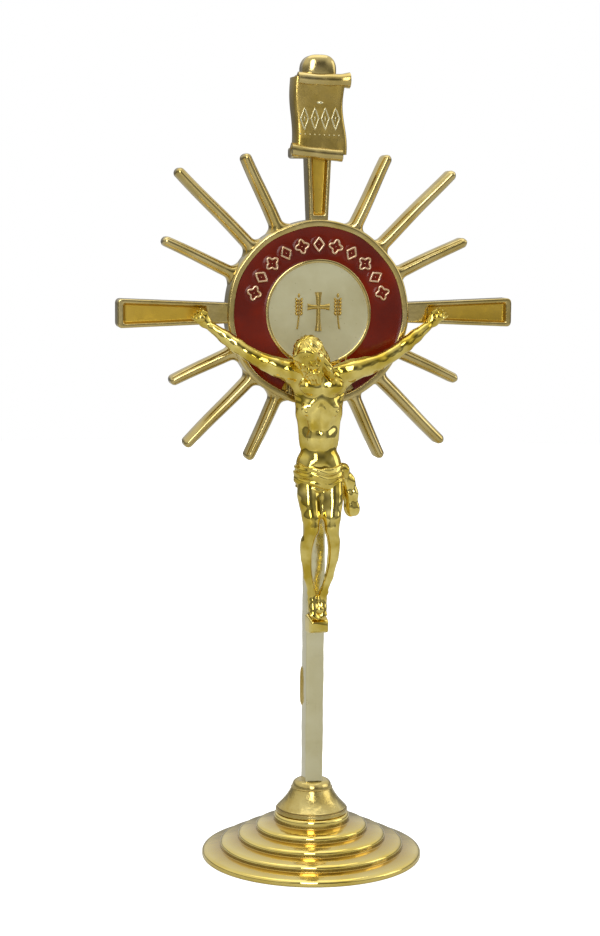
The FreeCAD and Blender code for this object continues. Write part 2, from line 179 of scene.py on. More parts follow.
def newGroup(name, inputs, outputs):
    group = bpy.data.node_groups.new(name, "ShaderNodeTree")
    for label, kind, value in inputs:
        socket = group.interface.new_socket(name=label, in_out="INPUT", socket_type=kind)
        socket.default_value = value
    for label, kind in outputs:
        group.interface.new_socket(name=label, in_out="OUTPUT", socket_type=kind)
    return group, group.nodes.new("NodeGroupInput"), group.nodes.new("NodeGroupOutput")


def addNode(tree, kind, links=None, **settings):
    # settings that match an input socket (spaces written as _) fill it; the others set the node itself
    node = tree.nodes.new(kind)
    sockets = {s.name.replace(" ", "_"): s for s in reversed(node.inputs)}
    for key, value in settings.items():
        if key in sockets and not hasattr(node, key):
            sockets[key].default_value = value
        else:
            setattr(node, key, value)
    for key, source in (links or {}).items():
        target = node.inputs[key] if isinstance(key, int) else sockets[key.replace(" ", "_")]
        tree.links.new(source, target)
    return node


def math2(tree, operation, a, b=None, clamp=False):
    node = tree.nodes.new("ShaderNodeMath")
    node.operation = operation
    node.use_clamp = clamp
    for index, value in enumerate((a, b)):
        if value is None:
            continue
        if isinstance(value, (int, float)):
            node.inputs[index].default_value = value
        else:
            tree.links.new(value, node.inputs[index])
    return node.outputs[0]


def makeGiltFinish():
    # two gold tones drifting over the surface, small dull patches, and the slight ripple of plated casting
    group, given, out = newGroup(
        "giltFinish",
        [("Bright", "NodeSocketColor", (0.9, 0.7, 0.3, 1)), ("Deep", "NodeSocketColor", (0.7, 0.5, 0.15, 1)),
         ("Drift Scale", "NodeSocketFloat", 120.0), ("Patch Scale", "NodeSocketFloat", 900.0),
         ("Smooth", "NodeSocketFloat", 0.08), ("Dull", "NodeSocketFloat", 0.25),
         ("Ripple", "NodeSocketFloat", 0.1), ("Grain", "NodeSocketFloat", 0.05)],
        [("Color", "NodeSocketColor"), ("Roughness", "NodeSocketFloat"), ("Normal", "NodeSocketVector")])
    place = addNode(group, "ShaderNodeTexCoord").outputs["Object"]
    drift = addNode(group, "ShaderNodeTexNoise", {"Vector": place, "Scale": given.outputs["Drift Scale"]},
                    Detail=3.0)
    patch = addNode(group, "ShaderNodeTexNoise", {"Vector": place, "Scale": given.outputs["Patch Scale"]},
                    Detail=2.5)
    driftMask = addNode(group, "ShaderNodeMapRange", {"Value": drift.outputs["Fac"]},
                        From_Min=0.35, From_Max=0.65)
    patchMask = addNode(group, "ShaderNodeMapRange", {"Value": patch.outputs["Fac"]},
                        From_Min=0.52, From_Max=0.74)
    tone = addNode(group, "ShaderNodeMix", data_type="RGBA")
    group.links.new(driftMask.outputs[0], tone.inputs[0])
    group.links.new(given.outputs["Bright"], tone.inputs[6])
    group.links.new(given.outputs["Deep"], tone.inputs[7])
    spots = math2(group, "MULTIPLY", patchMask.outputs[0], driftMask.outputs[0])
    rough = addNode(group, "ShaderNodeMapRange", {
        "Value": spots, "To Min": given.outputs["Smooth"], "To Max": given.outputs["Dull"]})
    ripple = addNode(group, "ShaderNodeTexNoise", {"Vector": place}, Scale=420.0, Detail=2.0)
    grain = addNode(group, "ShaderNodeTexNoise", {"Vector": place}, Scale=5200.0, Detail=2.0)
    waves = addNode(group, "ShaderNodeBump", {"Height": ripple.outputs["Fac"],
                                              "Strength": given.outputs["Ripple"]},
                    Distance=0.0006)
    pits = addNode(group, "ShaderNodeBump", {
        "Height": grain.outputs["Fac"], "Strength": given.outputs["Grain"], "Normal": waves.outputs[0]},
        Distance=0.00008)
    group.links.new(tone.outputs[2], out.inputs["Color"])
    group.links.new(rough.outputs[0], out.inputs["Roughness"])
    group.links.new(pits.outputs[0], out.inputs["Normal"])
    return group


def makeSpeckle():
    # a mask of small scattered specks, such as pinholes and settled dust
    group, given, out = newGroup(
        "speckle", [("Scale", "NodeSocketFloat", 900.0), ("Size", "NodeSocketFloat", 0.12)],
        [("Mask", "NodeSocketFloat")])
    place = addNode(group, "ShaderNodeTexCoord").outputs["Object"]
    cells = addNode(group, "ShaderNodeTexVoronoi", {"Vector": place, "Scale": given.outputs["Scale"]})
    chosen = addNode(group, "ShaderNodeSeparateColor", {"Color": cells.outputs["Color"]})
    near = math2(group, "LESS_THAN", cells.outputs["Distance"], given.outputs["Size"])
    rare = math2(group, "GREATER_THAN", chosen.outputs[0], 0.72)
    group.links.new(math2(group, "MULTIPLY", near, rare), out.inputs["Mask"])
    return group


giltFinish = makeGiltFinish()
speckle = makeSpeckle()


def placeGroup(tree, group, **values):
    node = tree.nodes.new("ShaderNodeGroup")
    node.node_tree = group
    for key, value in values.items():
        node.inputs[key.replace("_", " ")].default_value = value
    return node


def newMaterial(name, **constants):
    material = bpy.data.materials.new(name)
    material.use_nodes = True
    shader = material.node_tree.nodes["Principled BSDF"]
    for key, value in constants.items():
        shader.inputs[key.replace("_", " ")].default_value = value
    return material, material.node_tree, shader


giltLooks = {
    # bright tone, deep tone, painted shade tone for creases and recesses,
    # drift scale, patch scale, smooth and dull roughness, ripple, grain, weight of the clear coat
    "polishedGilt": ((0.86, 0.68, 0.19), (0.78, 0.58, 0.10), (0.45, 0.27, 0.02),
                     90.0, 400.0, 0.06, 0.16, 0.10, 0.02, 0.7),
    "satinGilt": ((0.68, 0.55, 0.21), (0.50, 0.37, 0.10), (0.24, 0.16, 0.04),
                  260.0, 1500.0, 0.18, 0.38, 0.35, 0.30, 0.2),
    "castGilt": ((0.66, 0.53, 0.23), (0.52, 0.39, 0.12), (0.62, 0.40, 0.04),
                 160.0, 450.0, 0.18, 0.32, 0.08, 0.04, 0.2),
    # a paler, greyer copy of the cast gilt that paints in the reflection of the white surroundings
    "paleReflectionGilt": ((0.78, 0.73, 0.48), (0.70, 0.64, 0.38), (0.40, 0.34, 0.16),
                 150.0, 1100.0, 0.14, 0.30, 0.12, 0.16, 0.2),
    "brightGilt": ((0.92, 0.75, 0.22), (0.60, 0.43, 0.04), (0.28, 0.16, 0.02),
                   260.0, 500.0, 0.07, 0.17, 0.03, 0.01, 0.2),
    "roseGilt": ((0.84, 0.60, 0.42), (0.74, 0.50, 0.28), (0.40, 0.16, 0.06),
                 500.0, 2200.0, 0.20, 0.40, 0.20, 0.20, 0.2),
}


def makeGilt(name):
    # gilt that turns to a deeper, duller painted shade tone where the mesh marks creases and recesses for
    # painted shade
    bright, deep, sunk, driftScale, patchScale, smooth, dull, ripple, grain, coat = giltLooks[name]
    material, tree, shader = newMaterial(name, Metallic=1.0, IOR=1.5, Coat_Roughness=0.08, Coat_IOR=1.6,
                                         Coat_Weight=coat)
    finish = placeGroup(tree, giltFinish, Bright=bright + (1,), Deep=deep + (1,), Drift_Scale=driftScale,
                        Patch_Scale=patchScale, Smooth=smooth, Dull=dull, Ripple=ripple, Grain=grain)
    paintedShade = addNode(tree, "ShaderNodeAttribute", attribute_name="paintedShade").outputs["Fac"]
    tone = addNode(tree, "ShaderNodeMix", data_type="RGBA")
    tree.links.new(math2(tree, "MULTIPLY", paintedShade, 0.9, clamp=True), tone.inputs[0])
    tree.links.new(finish.outputs["Color"], tone.inputs[6])
    tone.inputs[7].default_value = sunk + (1,)
    duller = math2(tree, "MULTIPLY_ADD", paintedShade, 0.16)
    tree.links.new(finish.outputs["Roughness"], duller.node.inputs[2])
    tree.links.new(tone.outputs[2], shader.inputs["Base Color"])
    tree.links.new(duller, shader.inputs["Roughness"])
    tree.links.new(finish.outputs["Normal"], shader.inputs["Normal"])
    return material


gilt = {name: makeGilt(name) for name in giltLooks}


def makeEnamel(name, main, shade, speckTone, waveScale):
    # a glossy poured fill: two tones that drift, a few pinholes, and a surface that isn't quite level
    material, tree, shader = newMaterial(name, Roughness=0.3, Coat_Weight=0.12, Coat_Roughness=0.08, IOR=1.28)
    place = addNode(tree, "ShaderNodeTexCoord").outputs["Object"]
    drift = addNode(tree, "ShaderNodeTexNoise", {"Vector": place}, Scale=waveScale, Detail=4.0)
    mask = addNode(tree, "ShaderNodeMapRange", {"Value": drift.outputs["Fac"]}, From_Min=0.38, From_Max=0.64)
    tone = addNode(tree, "ShaderNodeMix", data_type="RGBA")
    tree.links.new(mask.outputs[0], tone.inputs[0])
    tone.inputs[6].default_value = main + (1,)
    tone.inputs[7].default_value = shade + (1,)
    specks = placeGroup(tree, speckle, Scale=1300.0, Size=0.10)
    dotted = addNode(tree, "ShaderNodeMix", data_type="RGBA")
    tree.links.new(specks.outputs["Mask"], dotted.inputs[0])
    tree.links.new(tone.outputs[2], dotted.inputs[6])
    dotted.inputs[7].default_value = speckTone + (1,)
    level = addNode(tree, "ShaderNodeTexNoise", {"Vector": place}, Scale=260.0, Detail=1.5)
    bump = addNode(tree, "ShaderNodeBump", {"Height": level.outputs["Fac"]}, Distance=0.0005, Strength=0.22)
    rough = addNode(tree, "ShaderNodeMapRange", {"Value": drift.outputs["Fac"]}, To_Min=0.12, To_Max=0.34)
    tree.links.new(dotted.outputs[2], shader.inputs["Base Color"])
    tree.links.new(rough.outputs[0], shader.inputs["Roughness"])
    tree.links.new(bump.outputs[0], shader.inputs["Normal"])
    return material


redEnamel = makeEnamel("redEnamel", (0.190, 0.012, 0.001), (0.120, 0.008, 0.002), (0.05, 0.004, 0.002), 130.0)
ivoryEnamel = makeEnamel("ivoryEnamel", (0.55, 0.52, 0.33), (0.46, 0.42, 0.24), (0.30, 0.26, 0.12), 110.0)


def makeSteel(name, tone, smooth, dull):
    material, tree, shader = newMaterial(name, Metallic=1.0)
    finish = placeGroup(tree, giltFinish, Bright=tone + (1,), Deep=tuple(0.8 * c for c in tone) + (1,),
                        Drift_Scale=400.0, Patch_Scale=1800.0, Smooth=smooth, Dull=dull, Ripple=0.1,
                        Grain=0.3)
    for label, socket in (("Color", "Base Color"), ("Roughness", "Roughness"), ("Normal", "Normal")):
        tree.links.new(finish.outputs[label], shader.inputs[socket])
    return material


zincSteel = makeSteel("zincSteel", (0.62, 0.63, 0.64), 0.22, 0.42)
springSteel = makeSteel("springSteel", (0.25, 0.25, 0.27), 0.28, 0.5)
print("monstrance: materials made")


# stepped foot

foot = {
    "steps": 5,
    "rimRadius": footHigh[0],
    "seatRadius": 7.7,
    "lipRound": 0.9,
    "treadRise": 0.5,          # each tread climbs this much towards the next wall
    "wall": 1.0,
    "hub": 1.6,
    "hole": 1.6,
    "segments": 256,
}


def makeFoot():
    # the outline climbs a wall, turns over a rounded lip, and runs in along a gently rising tread,
    # five times;
    # a plain inner outline one wall thickness inside closes it
    top = footHigh[2]
    rise = top / foot["steps"]
    tread = (foot["rimRadius"] - foot["seatRadius"]) / (foot["steps"] - 1)
    outer, reach = [], []
    for k in range(foot["steps"]):
        radius = foot["rimRadius"] - k * tread
        lip = (k + 1) * rise - (foot["treadRise"] if k < foot["steps"] - 1 else 0)
        base = 0 if k == 0 else k * rise
        outer += [(radius - (0 if k == 0 else 0.12), base), (radius, lip)]
        reach += [0.35 if k == 0 else 0.2, foot["lipRound"]]
    outer.append((foot["hole"], top))
    reach.append(0.15)
    inner, level = [], top - foot["hub"]
    inner.append((foot["hole"], level))
    inner.append((foot["seatRadius"] - foot["wall"], level))
    for k in range(foot["steps"] - 2, -1, -1):
        radius = foot["rimRadius"] - k * tread - foot["wall"]
        under = (k + 1) * rise - foot["wall"] - 0.35
        inner += [(inner[-1][0], under), (radius, under)]
    inner.append((foot["rimRadius"] - foot["wall"], 0))
    steps = 7
    profile = softCorners(outer + inner, reach + [0.15] * len(inner), steps)
    ring, faces = turnedProfile(profile, foot["segments"])
    # the base of each wall but the first is a hollow, and takes painted shade there
    sunk = np.zeros((len(outer + inner), steps))
    sunk[2:2 * foot["steps"]:2] = 0.9
    paintedShade = np.broadcast_to(sunk.ravel(), ring.shape[:2])
    piece = addPiece("steppedFoot", ring, faces, gilt["polishedGilt"], "foot", "stepped_foot", 60, paintedShade)


makeFoot()


# bell collar

collar = {
    "lip": 0.8,                # height of the plain band at the base
    "groove": 0.22,            # the turned line above it
    "shoulderR": 4.15,
    "shoulderShare": 0.75,     # height of the shoulder, as a share of the collar's
    "neckR": 2.75,
    "concave": 0.30,           # how far the skirt's line sags inwards
    "segments": 192,
}


def makeCollar():
    # a band, a turned line, a skirt that runs straight in to the shoulder less a sine of its own height, a
    # small ledge, and a quarter oval that closes on the stem
    z0, z1 = collarLow[2], collarHigh[2]
    rim = collarHigh[0]
    height = z1 - z0
    low, shoulder = z0 + collar["lip"] + 0.35, z0 + collar["shoulderShare"] * height
    lip = softPath([(rim - 0.3, z0), (rim, z0 + 0.12), (rim, z0 + collar["lip"]),
                    (rim - 0.12, z0 + collar["lip"] + 0.08),
                    (rim - collar["groove"] - 0.1, z0 + collar["lip"] + 0.12),
                    (rim - 0.28, low)], 0.12, 5)
    t = np.linspace(0, 1, 26)
    skirtR = (rim - 0.28) * (1 - t) + collar["shoulderR"] * t - collar["concave"] * np.sin(t * np.pi)
    skirt = np.column_stack([skirtR, low + (shoulder - low) * t])
    ledge = softPath([(collar["shoulderR"], shoulder), (collar["shoulderR"] + 0.1, shoulder + 0.14),
                      (collar["shoulderR"] - 0.12, shoulder + 0.28)], 0.08, 5)
    a = np.linspace(0, 1, 20) * np.pi / 2
    base = shoulder + 0.3
    cap = np.column_stack([collar["neckR"] + (collar["shoulderR"] - 0.15 - collar["neckR"]) * np.cos(a),
                           base + (z1 - base) * np.sin(a)])
    profile = np.vstack([lip, skirt, ledge, cap, [(foot["hole"], z1), (foot["hole"], z0)]])

    def wobble(angle):
        # the casting was dressed by hand, so it isn't quite round
        return 1 + 0.004 * np.sin(3 * angle + 0.6) + 0.003 * np.sin(7 * angle)

    ring, faces = turnedProfile(profile, collar["segments"], wobble=wobble)
    ring[..., :2] = ring[..., :2] / 1.008
    # painted shade in the turned line above the band, and a lighter painted shade where the cap meets the
    # ledge
    paintedShade = np.exp(-((profile[:, 1] - z0 - collar["lip"] - 0.13) / 0.14) ** 2)
    paintedShade = paintedShade + 0.6 * np.exp(-((profile[:, 1] - base) / 0.16) ** 2)
    paintedShade = np.broadcast_to(np.clip(paintedShade, 0, 1), ring.shape[:2])
    piece = addPiece("bellCollar", ring, faces, gilt["satinGilt"], "upright", "bell_collar", 50, paintedShade)


makeCollar()
print("monstrance: foot and collar made")


# upright, crossbars and top arm

bars = {
    "stemFootHalf": 1.75,
    "stemTopHalf": 1.95,
    "sideRootHalf": 1.95,
    "sideEndHalf": 2.85,
    "topRootHalf": 1.8,
    "topEndHalf": 2.45,
    "edgeRound": 0.32,
    "border": 0.72,
    "panelDepth": 0.9,
    "panelSlope": 0.42,
    "panelStart": 22.0,
    "topPanelEnd": 30.6,
    "topArmReach": 31.6,
    "backStep": 0.06,
}


def addStem():
    # a rounded oblong carried up the middle line, widening slightly, and wavering by a few hundredths
    z = np.concatenate([[collarHigh[2] - 4.0], np.linspace(collarHigh[2] - 3.5, centreZ - 15.5, 90)])
    share = (z - z[0]) / (z[-1] - z[0])
    half = bars["stemFootHalf"] + (bars["stemTopHalf"] - bars["stemFootHalf"]) * share
    half = half + 0.03 * np.sin(z * 0.55) + 0.02 * np.sin(z * 1.7 + 1)
    corner = np.array([(-1, -1), (1, -1), (1, 1), (-1, 1)], dtype=float)
    outline = corner[None] * np.stack([half, np.full_like(half, barBack - bars["backStep"])], -1)[:, None, :]
    section = softCorners(outline, bars["edgeRound"], 6)
    points = np.concatenate([section, np.broadcast_to(z[:, None, None], section.shape[:2] + (1,))], -1)
    verts, faces = closedTube(points)
    piece = addPiece("uprightStem", verts, faces, gilt["paleReflectionGilt"], "upright", "sunburst_cross")


def panelledBar(name, turn, root, end, rootHalf, endHalf, cornerRound, panelFrom, panelTo, material):
    # a bar carried outwards from the medallion; its section is an oblong whose front face drops by
    # panelDepth between two borders wherever the panel runs, and whose width closes as a quarter circle
    # at the outer end
    d = np.unique(np.concatenate([
        np.linspace(root, end - cornerRound, 40),
        end - cornerRound * (1 - np.sin(np.linspace(0, 1, 12) * np.pi / 2)),
        panelFrom + np.linspace(0, 0.7, 6), panelTo - np.linspace(0, 0.7, 6)]))
    half = rootHalf + (endHalf - rootHalf) * (d - root) / (end - root)
    past = np.clip((d - (end - cornerRound)) / cornerRound, 0, 1)
    half = half - cornerRound * (1 - np.sqrt(1 - past ** 2))
    sunk = (bars["panelDepth"] * smoothStep(d, panelFrom, panelFrom + 0.6)
            * (1 - smoothStep(d, panelTo - 0.6, panelTo)))
    closing = 0.22 * smoothStep(d, end - 0.35, end) ** 2
    inner = np.maximum(half - bars["border"], 0.25)
    floor = np.maximum(inner - bars["panelSlope"], 0.1)
    front, back = barFront + closing, barBack - bars["backStep"] - closing
    x = np.stack([-half, -half, -inner, -floor, floor, inner, half, half], -1)
    y = np.stack([back, front, front, front + sunk, front + sunk, front, front, back], -1)
    reach = [0.3, bars["edgeRound"], 0.18, 0.14, 0.14, 0.18, bars["edgeRound"], 0.3]
    section = softCorners(np.stack([x, y], -1), reach, 5)
    z = np.broadcast_to(centreZ + d[:, None, None], section.shape[:2] + (1,))
    points = turnAboutMedallion(np.concatenate([section, z], -1), turn)
    verts, faces = closedTube(points)
    # painted shade on the sunk panel floors and their sloping sides
    deep = smoothStep(section[..., 1] - barFront, 0.15, 0.7) * (np.abs(section[..., 0]) < inner[:, None])
    piece = addPiece(name, verts, faces, material, "upright", "sunburst_cross", 50, deep)
    return piece


addStem()
reachX = spanX
panelledBar("crossbarRight", 90, rimRadius - 1.2, reachX, bars["sideRootHalf"], bars["sideEndHalf"], 0.9,
            bars["panelStart"], reachX - 1.0, gilt["castGilt"])
panelledBar("crossbarLeft", -90, rimRadius - 1.2, reachX, bars["sideRootHalf"], bars["sideEndHalf"], 0.9,
            bars["panelStart"], reachX - 1.0, gilt["castGilt"])
panelledBar("topArm", 0, rimRadius - 1.2, bars["topArmReach"], bars["topRootHalf"], bars["topEndHalf"], 0.3,
            rimRadius + 0.6, bars["topPanelEnd"], gilt["castGilt"])


# gate boss on the back of the upright

gateBoss = {
    "centreZ": 34.5,
    "halfWide": 2.2,
    "halfTall": 5.0,
    "proud": 1.1,
    "rootDepth": 0.4,              # how far it starts inside the back
}


def addGateBoss():
    # half of a flattened egg: across and up follow a rounded oblong, and it stands proud as a quarter circle
    halfWide, root = gateBoss["halfWide"], gateBoss["rootDepth"]
    u = np.linspace(0, 2 * np.pi, 64, endpoint=False)[None, :]
    v = np.linspace(0, 1, 10)[:, None]
    scale = np.cos(v * np.pi / 2) ** 0.6
    scale[-1] = 0.02
    straight = gateBoss["halfTall"] - halfWide
    x = halfWide * scale * np.cos(u)
    z = gateBoss["centreZ"] + halfWide * scale * np.sin(u) + straight * np.tanh(6 * np.sin(u)) * scale ** 0.3
    y = barBack - root + (gateBoss["proud"] + root) * np.sin(v * np.pi / 2) + 0 * u
    verts, faces = closedTube(np.stack([x, y, z], -1))
    addPiece("gateBoss", verts, faces, gilt["castGilt"], "upright", "sunburst_cross")


addGateBoss()


# medallion: back plate and rim in one, and the wire round the host

medallion = {
    "edgeRound": 0.28,
    "rimSlope": 0.25,
    "wireHalf": 0.36,
    "segments": 288,
    "padHalf": 6.0,
    "padBorder": 0.7,
}


def rimWobble(angle):
    # the rim was filed by hand, so its width drifts by a tenth or so
    return 1 + 0.0035 * np.sin(5 * angle + 0.4) + 0.003 * np.sin(11 * angle + 2) - 0.0065


def addMedallionCup():
    # a dish turned about the medallion's axis: flat back, rounded outer edge, sloping rim, inner wall, floor
    profile = [(0.02, barBack), (rimRadius, barBack), (rimRadius, rimFront + medallion["rimSlope"]),
               (rimRadius - 0.35, rimFront), (enamelRadius + 0.15, rimFront + 0.05), (enamelRadius, cupFloor),
               (0.02, cupFloor)]
    reach = [0.005, 0.35, 0.22, 0.22, 0.25, 0.2, 0.005]
    ring, faces = turnedProfile(softCorners(profile, reach, 6), medallion["segments"], "y", rimWobble)
    piece = addPiece("medallionCup", ring, faces, gilt["castGilt"], "upright", "sunburst_cross", 50)


def addWireRing():
    # a half-round wire that follows a circle, open at the bottom where the figure's field is
    opening = math.radians(24)
    angle = np.linspace(opening - np.pi, np.pi - opening, 200)
    radius = hostRadius + 0.3 + 0.05 * np.sin(4 * angle)
    t = np.linspace(0, 2 * np.pi, 20, endpoint=False)
    across = medallion["wireHalf"] * np.cos(t)
    depth = rimFront + 0.12 + 0.32 * (1 - np.sin(t)) * 0.5
    depth = np.where(np.sin(t) < 0, cupFloor + 0.1, depth)
    points = np.empty((len(angle), len(t), 3))
    points[..., 0] = (radius[:, None] + across) * np.sin(angle)[:, None]
    points[..., 1] = depth[None, :]
    points[..., 2] = centreZ + (radius[:, None] + across) * np.cos(angle)[:, None]
    verts, faces = closedTube(points)
    piece = addPiece("hostWire", verts, faces, gilt["castGilt"], "upright", "sunburst_cross", 60)


def reliefSlab(name, x, z, front, back, material, body, node=None, sharpAngle=50, sunk=0.0):
    # a closed slab from a grid of fronts: the same grid flattened at `back` closes it behind; sunk is how
    # far its front takes on the gilt's painted shade tone
    rows, columns = x.shape
    near = np.stack([x, front, z], -1)
    far = np.stack([x, np.full_like(x, back), z], -1)
    faces = [gridFaces(rows, columns), gridFaces(rows, columns, start=rows * columns)[:, ::-1]]
    n = rows * columns
    edge = np.concatenate([np.arange(columns), np.arange(1, rows) * columns + columns - 1,
                           (rows - 1) * columns + np.arange(columns - 2, -1, -1),
                           np.arange(rows - 2, 0, -1) * columns])
    nextEdge = np.roll(edge, -1)
    faces.append(np.stack([nextEdge, edge, edge + n, nextEdge + n], -1))
    return addPiece(name, np.concatenate([near.reshape(-1, 3), far.reshape(-1, 3)]), np.concatenate(faces),
                    material, body, node, sharpAngle, np.repeat([sunk, 0.0], n))


def addFigurePad():
    # a field with two upright borders, between the rim and the wire, its top edge following the wire's curve
    u = np.linspace(-1, 1, 61)[None, :]
    v = np.linspace(0, 1, 40)[:, None]
    half = medallion["padHalf"]
    x = half * u + 0 * v
    low = centreZ - np.sqrt((enamelRadius + 0.3) ** 2 - x ** 2)
    high = centreZ - np.sqrt((hostRadius + 0.2) ** 2 - x ** 2)
    z = low + (high - low) * v
    fromEdge = half - np.abs(x)
    border = np.sqrt(np.clip(1 - (fromEdge / (medallion["padBorder"] / 2) - 1) ** 2, 0, 1))
    front = enamelFront + 0.42 - 0.5 * border * (fromEdge < medallion["padBorder"])
    front = front + 0.03 * np.sin(3 * x + z) + 0.02 * np.sin(5 * z)
    piece = reliefSlab("figurePad", x, z, front, cupFloor + 0.2, gilt["castGilt"], "upright",
                       "sunburst_cross", 70)


addMedallionCup()
addWireRing()
addFigurePad()
print("monstrance: cross and medallion made")


# rays

rays = {
    "angles": (25.0, 45.0, 65.0),
    "upperTips": (34.0, 39.2, 33.6),
    "lowerTips": (32.0, 36.9, 32.0),
    "rootHalf": 1.22,
    "tipHalf": 0.98,
    "eaves": barBack - 2.7,
    "ridge": 1.0,
    "flare": 1.5,
    "bow": 0.06,
}


def addRay(name, turn, tip):
    # a bar whose section is two straight walls under a half-round ridge; it flares into the rim as
    # (1 - t)^3 and closes at the tip as a half circle
    start = rimRadius - 0.9
    tipHalf = rays["tipHalf"]
    d = np.concatenate([np.linspace(start, rimRadius + rays["flare"], 14)[:-1],
                        np.linspace(rimRadius + rays["flare"], tip - tipHalf, 26)[:-1],
                        tip - tipHalf * (1 - np.sin(np.linspace(0, 1, 14) * np.pi / 2))])
    half = rays["rootHalf"] + (tipHalf - rays["rootHalf"]) * (d - start) / (tip - start)
    near = np.clip(1 - (d - rimRadius) / rays["flare"], 0, 1.3)
    half = half + 0.75 * near ** 3
    past = np.clip((d - (tip - tipHalf)) / tipHalf, 0, 1)
    closing = np.sqrt(np.maximum(1 - past ** 2, 0.0004))
    half = half * closing
    rise = rays["ridge"] * closing ** 0.7
    t = np.linspace(-1, 1, 17)[None, :]
    crown = np.stack([half[:, None] * t, rays["eaves"] - rise[:, None] * (1 - np.abs(t) ** 2.4)], -1)
    softBack = barBack - bars["backStep"] - 0.25 * (1 - closing)
    foot1 = np.stack([half, softBack], -1)[:, None, :]
    foot2 = np.stack([-half, softBack], -1)[:, None, :]
    section = np.concatenate([crown, foot1, foot2], 1)
    section[..., 0] += rays["bow"] * np.sin(d * 0.35 + turn)[:, None]
    z = np.broadcast_to(centreZ + d[:, None, None], section.shape[:2] + (1,))
    points = turnAboutMedallion(np.concatenate([section, z], -1), turn)
    verts, faces = closedTube(points)
    piece = addPiece(name, verts, faces, gilt["castGilt"], "upright", "sunburst_cross", 75)


rayCount = 0
for rayAngle, upperTip, lowerTip in zip(rays["angles"], rays["upperTips"], rays["lowerTips"]):
    for side in (1, -1):
        for turn, tip in ((side * rayAngle, upperTip), (side * (180 - rayAngle), lowerTip)):
            rayCount += 1
            addRay(f"ray_{rayCount:02d}", turn, tip)
print("monstrance: rays made")


# enamel and its raised ornament

ornament = {
    "count": 11,
    "spread": 146.0,
    "radius": 13.4,
    "size": 1.35,              # half the height of one motif
    "line": 0.29,              # half the width of its raised line
    "proud": 0.2,
    "crossHalfTall": 3.8,
    "crossHalfWide": 2.2,
    "crossBar": 0.72,
    "wheatX": 3.9,
    "wheatHalf": 3.4,
}

motifAngles = np.radians(ornament["spread"] * (np.arange(ornament["count"]) / (ornament["count"] - 1) - 0.5))


def addRedBand():
    # a ring filled between wire and rim, open behind the figure; it climbs a little against both walls
    # and swells round each motif
    opening = math.asin(medallion["padHalf"] / ((enamelRadius + hostRadius) / 2)) * 0.97
    angle = np.linspace(opening - np.pi, np.pi - opening, 420)[:, None]
    v = np.linspace(0, 1, 44)[None, :]
    inner, outer = hostRadius + 0.55, enamelRadius + 0.05
    radius = inner + (outer - inner) * v
    x = radius * np.sin(angle)
    z = centreZ + radius * np.cos(angle)
    fromWall = np.minimum(radius - inner, outer - radius)
    front = enamelFront + 0.22 - 0.16 * np.exp(-fromWall / 0.45)
    motifX = ornament["radius"] * np.sin(motifAngles)
    motifZ = centreZ + ornament["radius"] * np.cos(motifAngles)
    for mx, mz in zip(motifX, motifZ):
        away = np.hypot(x - mx, z - mz)
        front = front - 0.13 * np.exp(-((away - ornament["size"]) / 0.35) ** 2)
    front = front + 0.03 * np.sin(3 * angle + radius) + 0.02 * np.sin(9 * angle)
    piece = reliefSlab("redEnamelBand", x, z, front, cupFloor, redEnamel, "upright", "red_enamel_band", 60)


def addIvoryHost():
    # a disc with a slight crown that climbs against the wire; rings of points run from the centre out
    angle = np.linspace(0, 2 * np.pi, 160, endpoint=False)[:, None]
    radius = (hostRadius + 0.05) * np.linspace(0.004, 1, 40)[None, :]
    x = radius * np.sin(angle)
    z = centreZ + radius * np.cos(angle)
    front = enamelFront + 0.2 - 0.08 * (1 - (radius / hostRadius) ** 2)
    front = front - 0.14 * np.exp((radius - hostRadius) / 0.4)
    front = front + 0.02 * np.sin(2 * angle + 1) * radius / hostRadius
    rows, columns = x.shape
    n = rows * columns
    near = np.stack([x, front, z], -1).reshape(-1, 3)
    far = np.stack([x, np.full_like(x, cupFloor), z], -1).reshape(-1, 3)
    faces = gridFaces(rows, columns, closeRows=True).tolist()
    faces += gridFaces(rows, columns, closeRows=True, start=n)[:, ::-1].tolist()
    edge = np.arange(rows) * columns + columns - 1
    faces += np.stack([np.roll(edge, -1), edge, edge + n, np.roll(edge, -1) + n], -1).tolist()
    hub = np.arange(rows) * columns
    faces += [hub.tolist(), (hub + n)[::-1].tolist()]
    piece = addPiece("ivoryEnamelHost", np.concatenate([near, far]), faces, ivoryEnamel, "upright",
                     "ivory_enamel_host", 60)


def raisedLine(path, half, front, back, closed=True):
    # a half-round line that follows a path in the front plane; path is (n, 2) in x and z
    if closed:
        along = np.roll(path, -1, axis=0) - np.roll(path, 1, axis=0)
    else:
        along = np.gradient(path, axis=0)
    along = along / np.linalg.norm(along, axis=1, keepdims=True)
    side = np.stack([-along[:, 1], along[:, 0]], -1)
    t = np.linspace(0, np.pi, 9)
    across = half * np.concatenate([np.cos(t), [-1.0, 1.0]])
    depth = np.concatenate([front + (back - front) * 0.45 * (1 - np.sin(t)), [back, back]])
    points = np.empty((len(path), len(across), 3))
    points[..., 0] = path[:, 0, None] + side[:, 0, None] * across
    points[..., 1] = depth
    points[..., 2] = path[:, 1, None] + side[:, 1, None] * across
    if closed:
        return points.reshape(-1, 3), gridFaces(len(path), len(across), True, True).tolist()
    return closedTube(points)


def dome(x, z, halfWide, halfTall, front, back, lean=0.0, rings=7, spokes=20):
    # a small mound on an ellipse, leaning by `lean` radians; it rises as a quarter circle to its middle
    u = np.linspace(0, 2 * np.pi, spokes, endpoint=False)[None, :]
    v = np.linspace(0, 1, rings)[:, None]
    scale = np.cos(v * np.pi / 2)
    scale[-1] = 0.03
    a, b = halfWide * scale * np.cos(u), halfTall * scale * np.sin(u)
    shape = np.stack([x + a * math.cos(lean) + b * math.sin(lean),
                      back + (front - back) * np.sin(v * np.pi / 2) + 0 * u,
                      z - a * math.sin(lean) + b * math.cos(lean)], -1)
    return closedTube(shape)


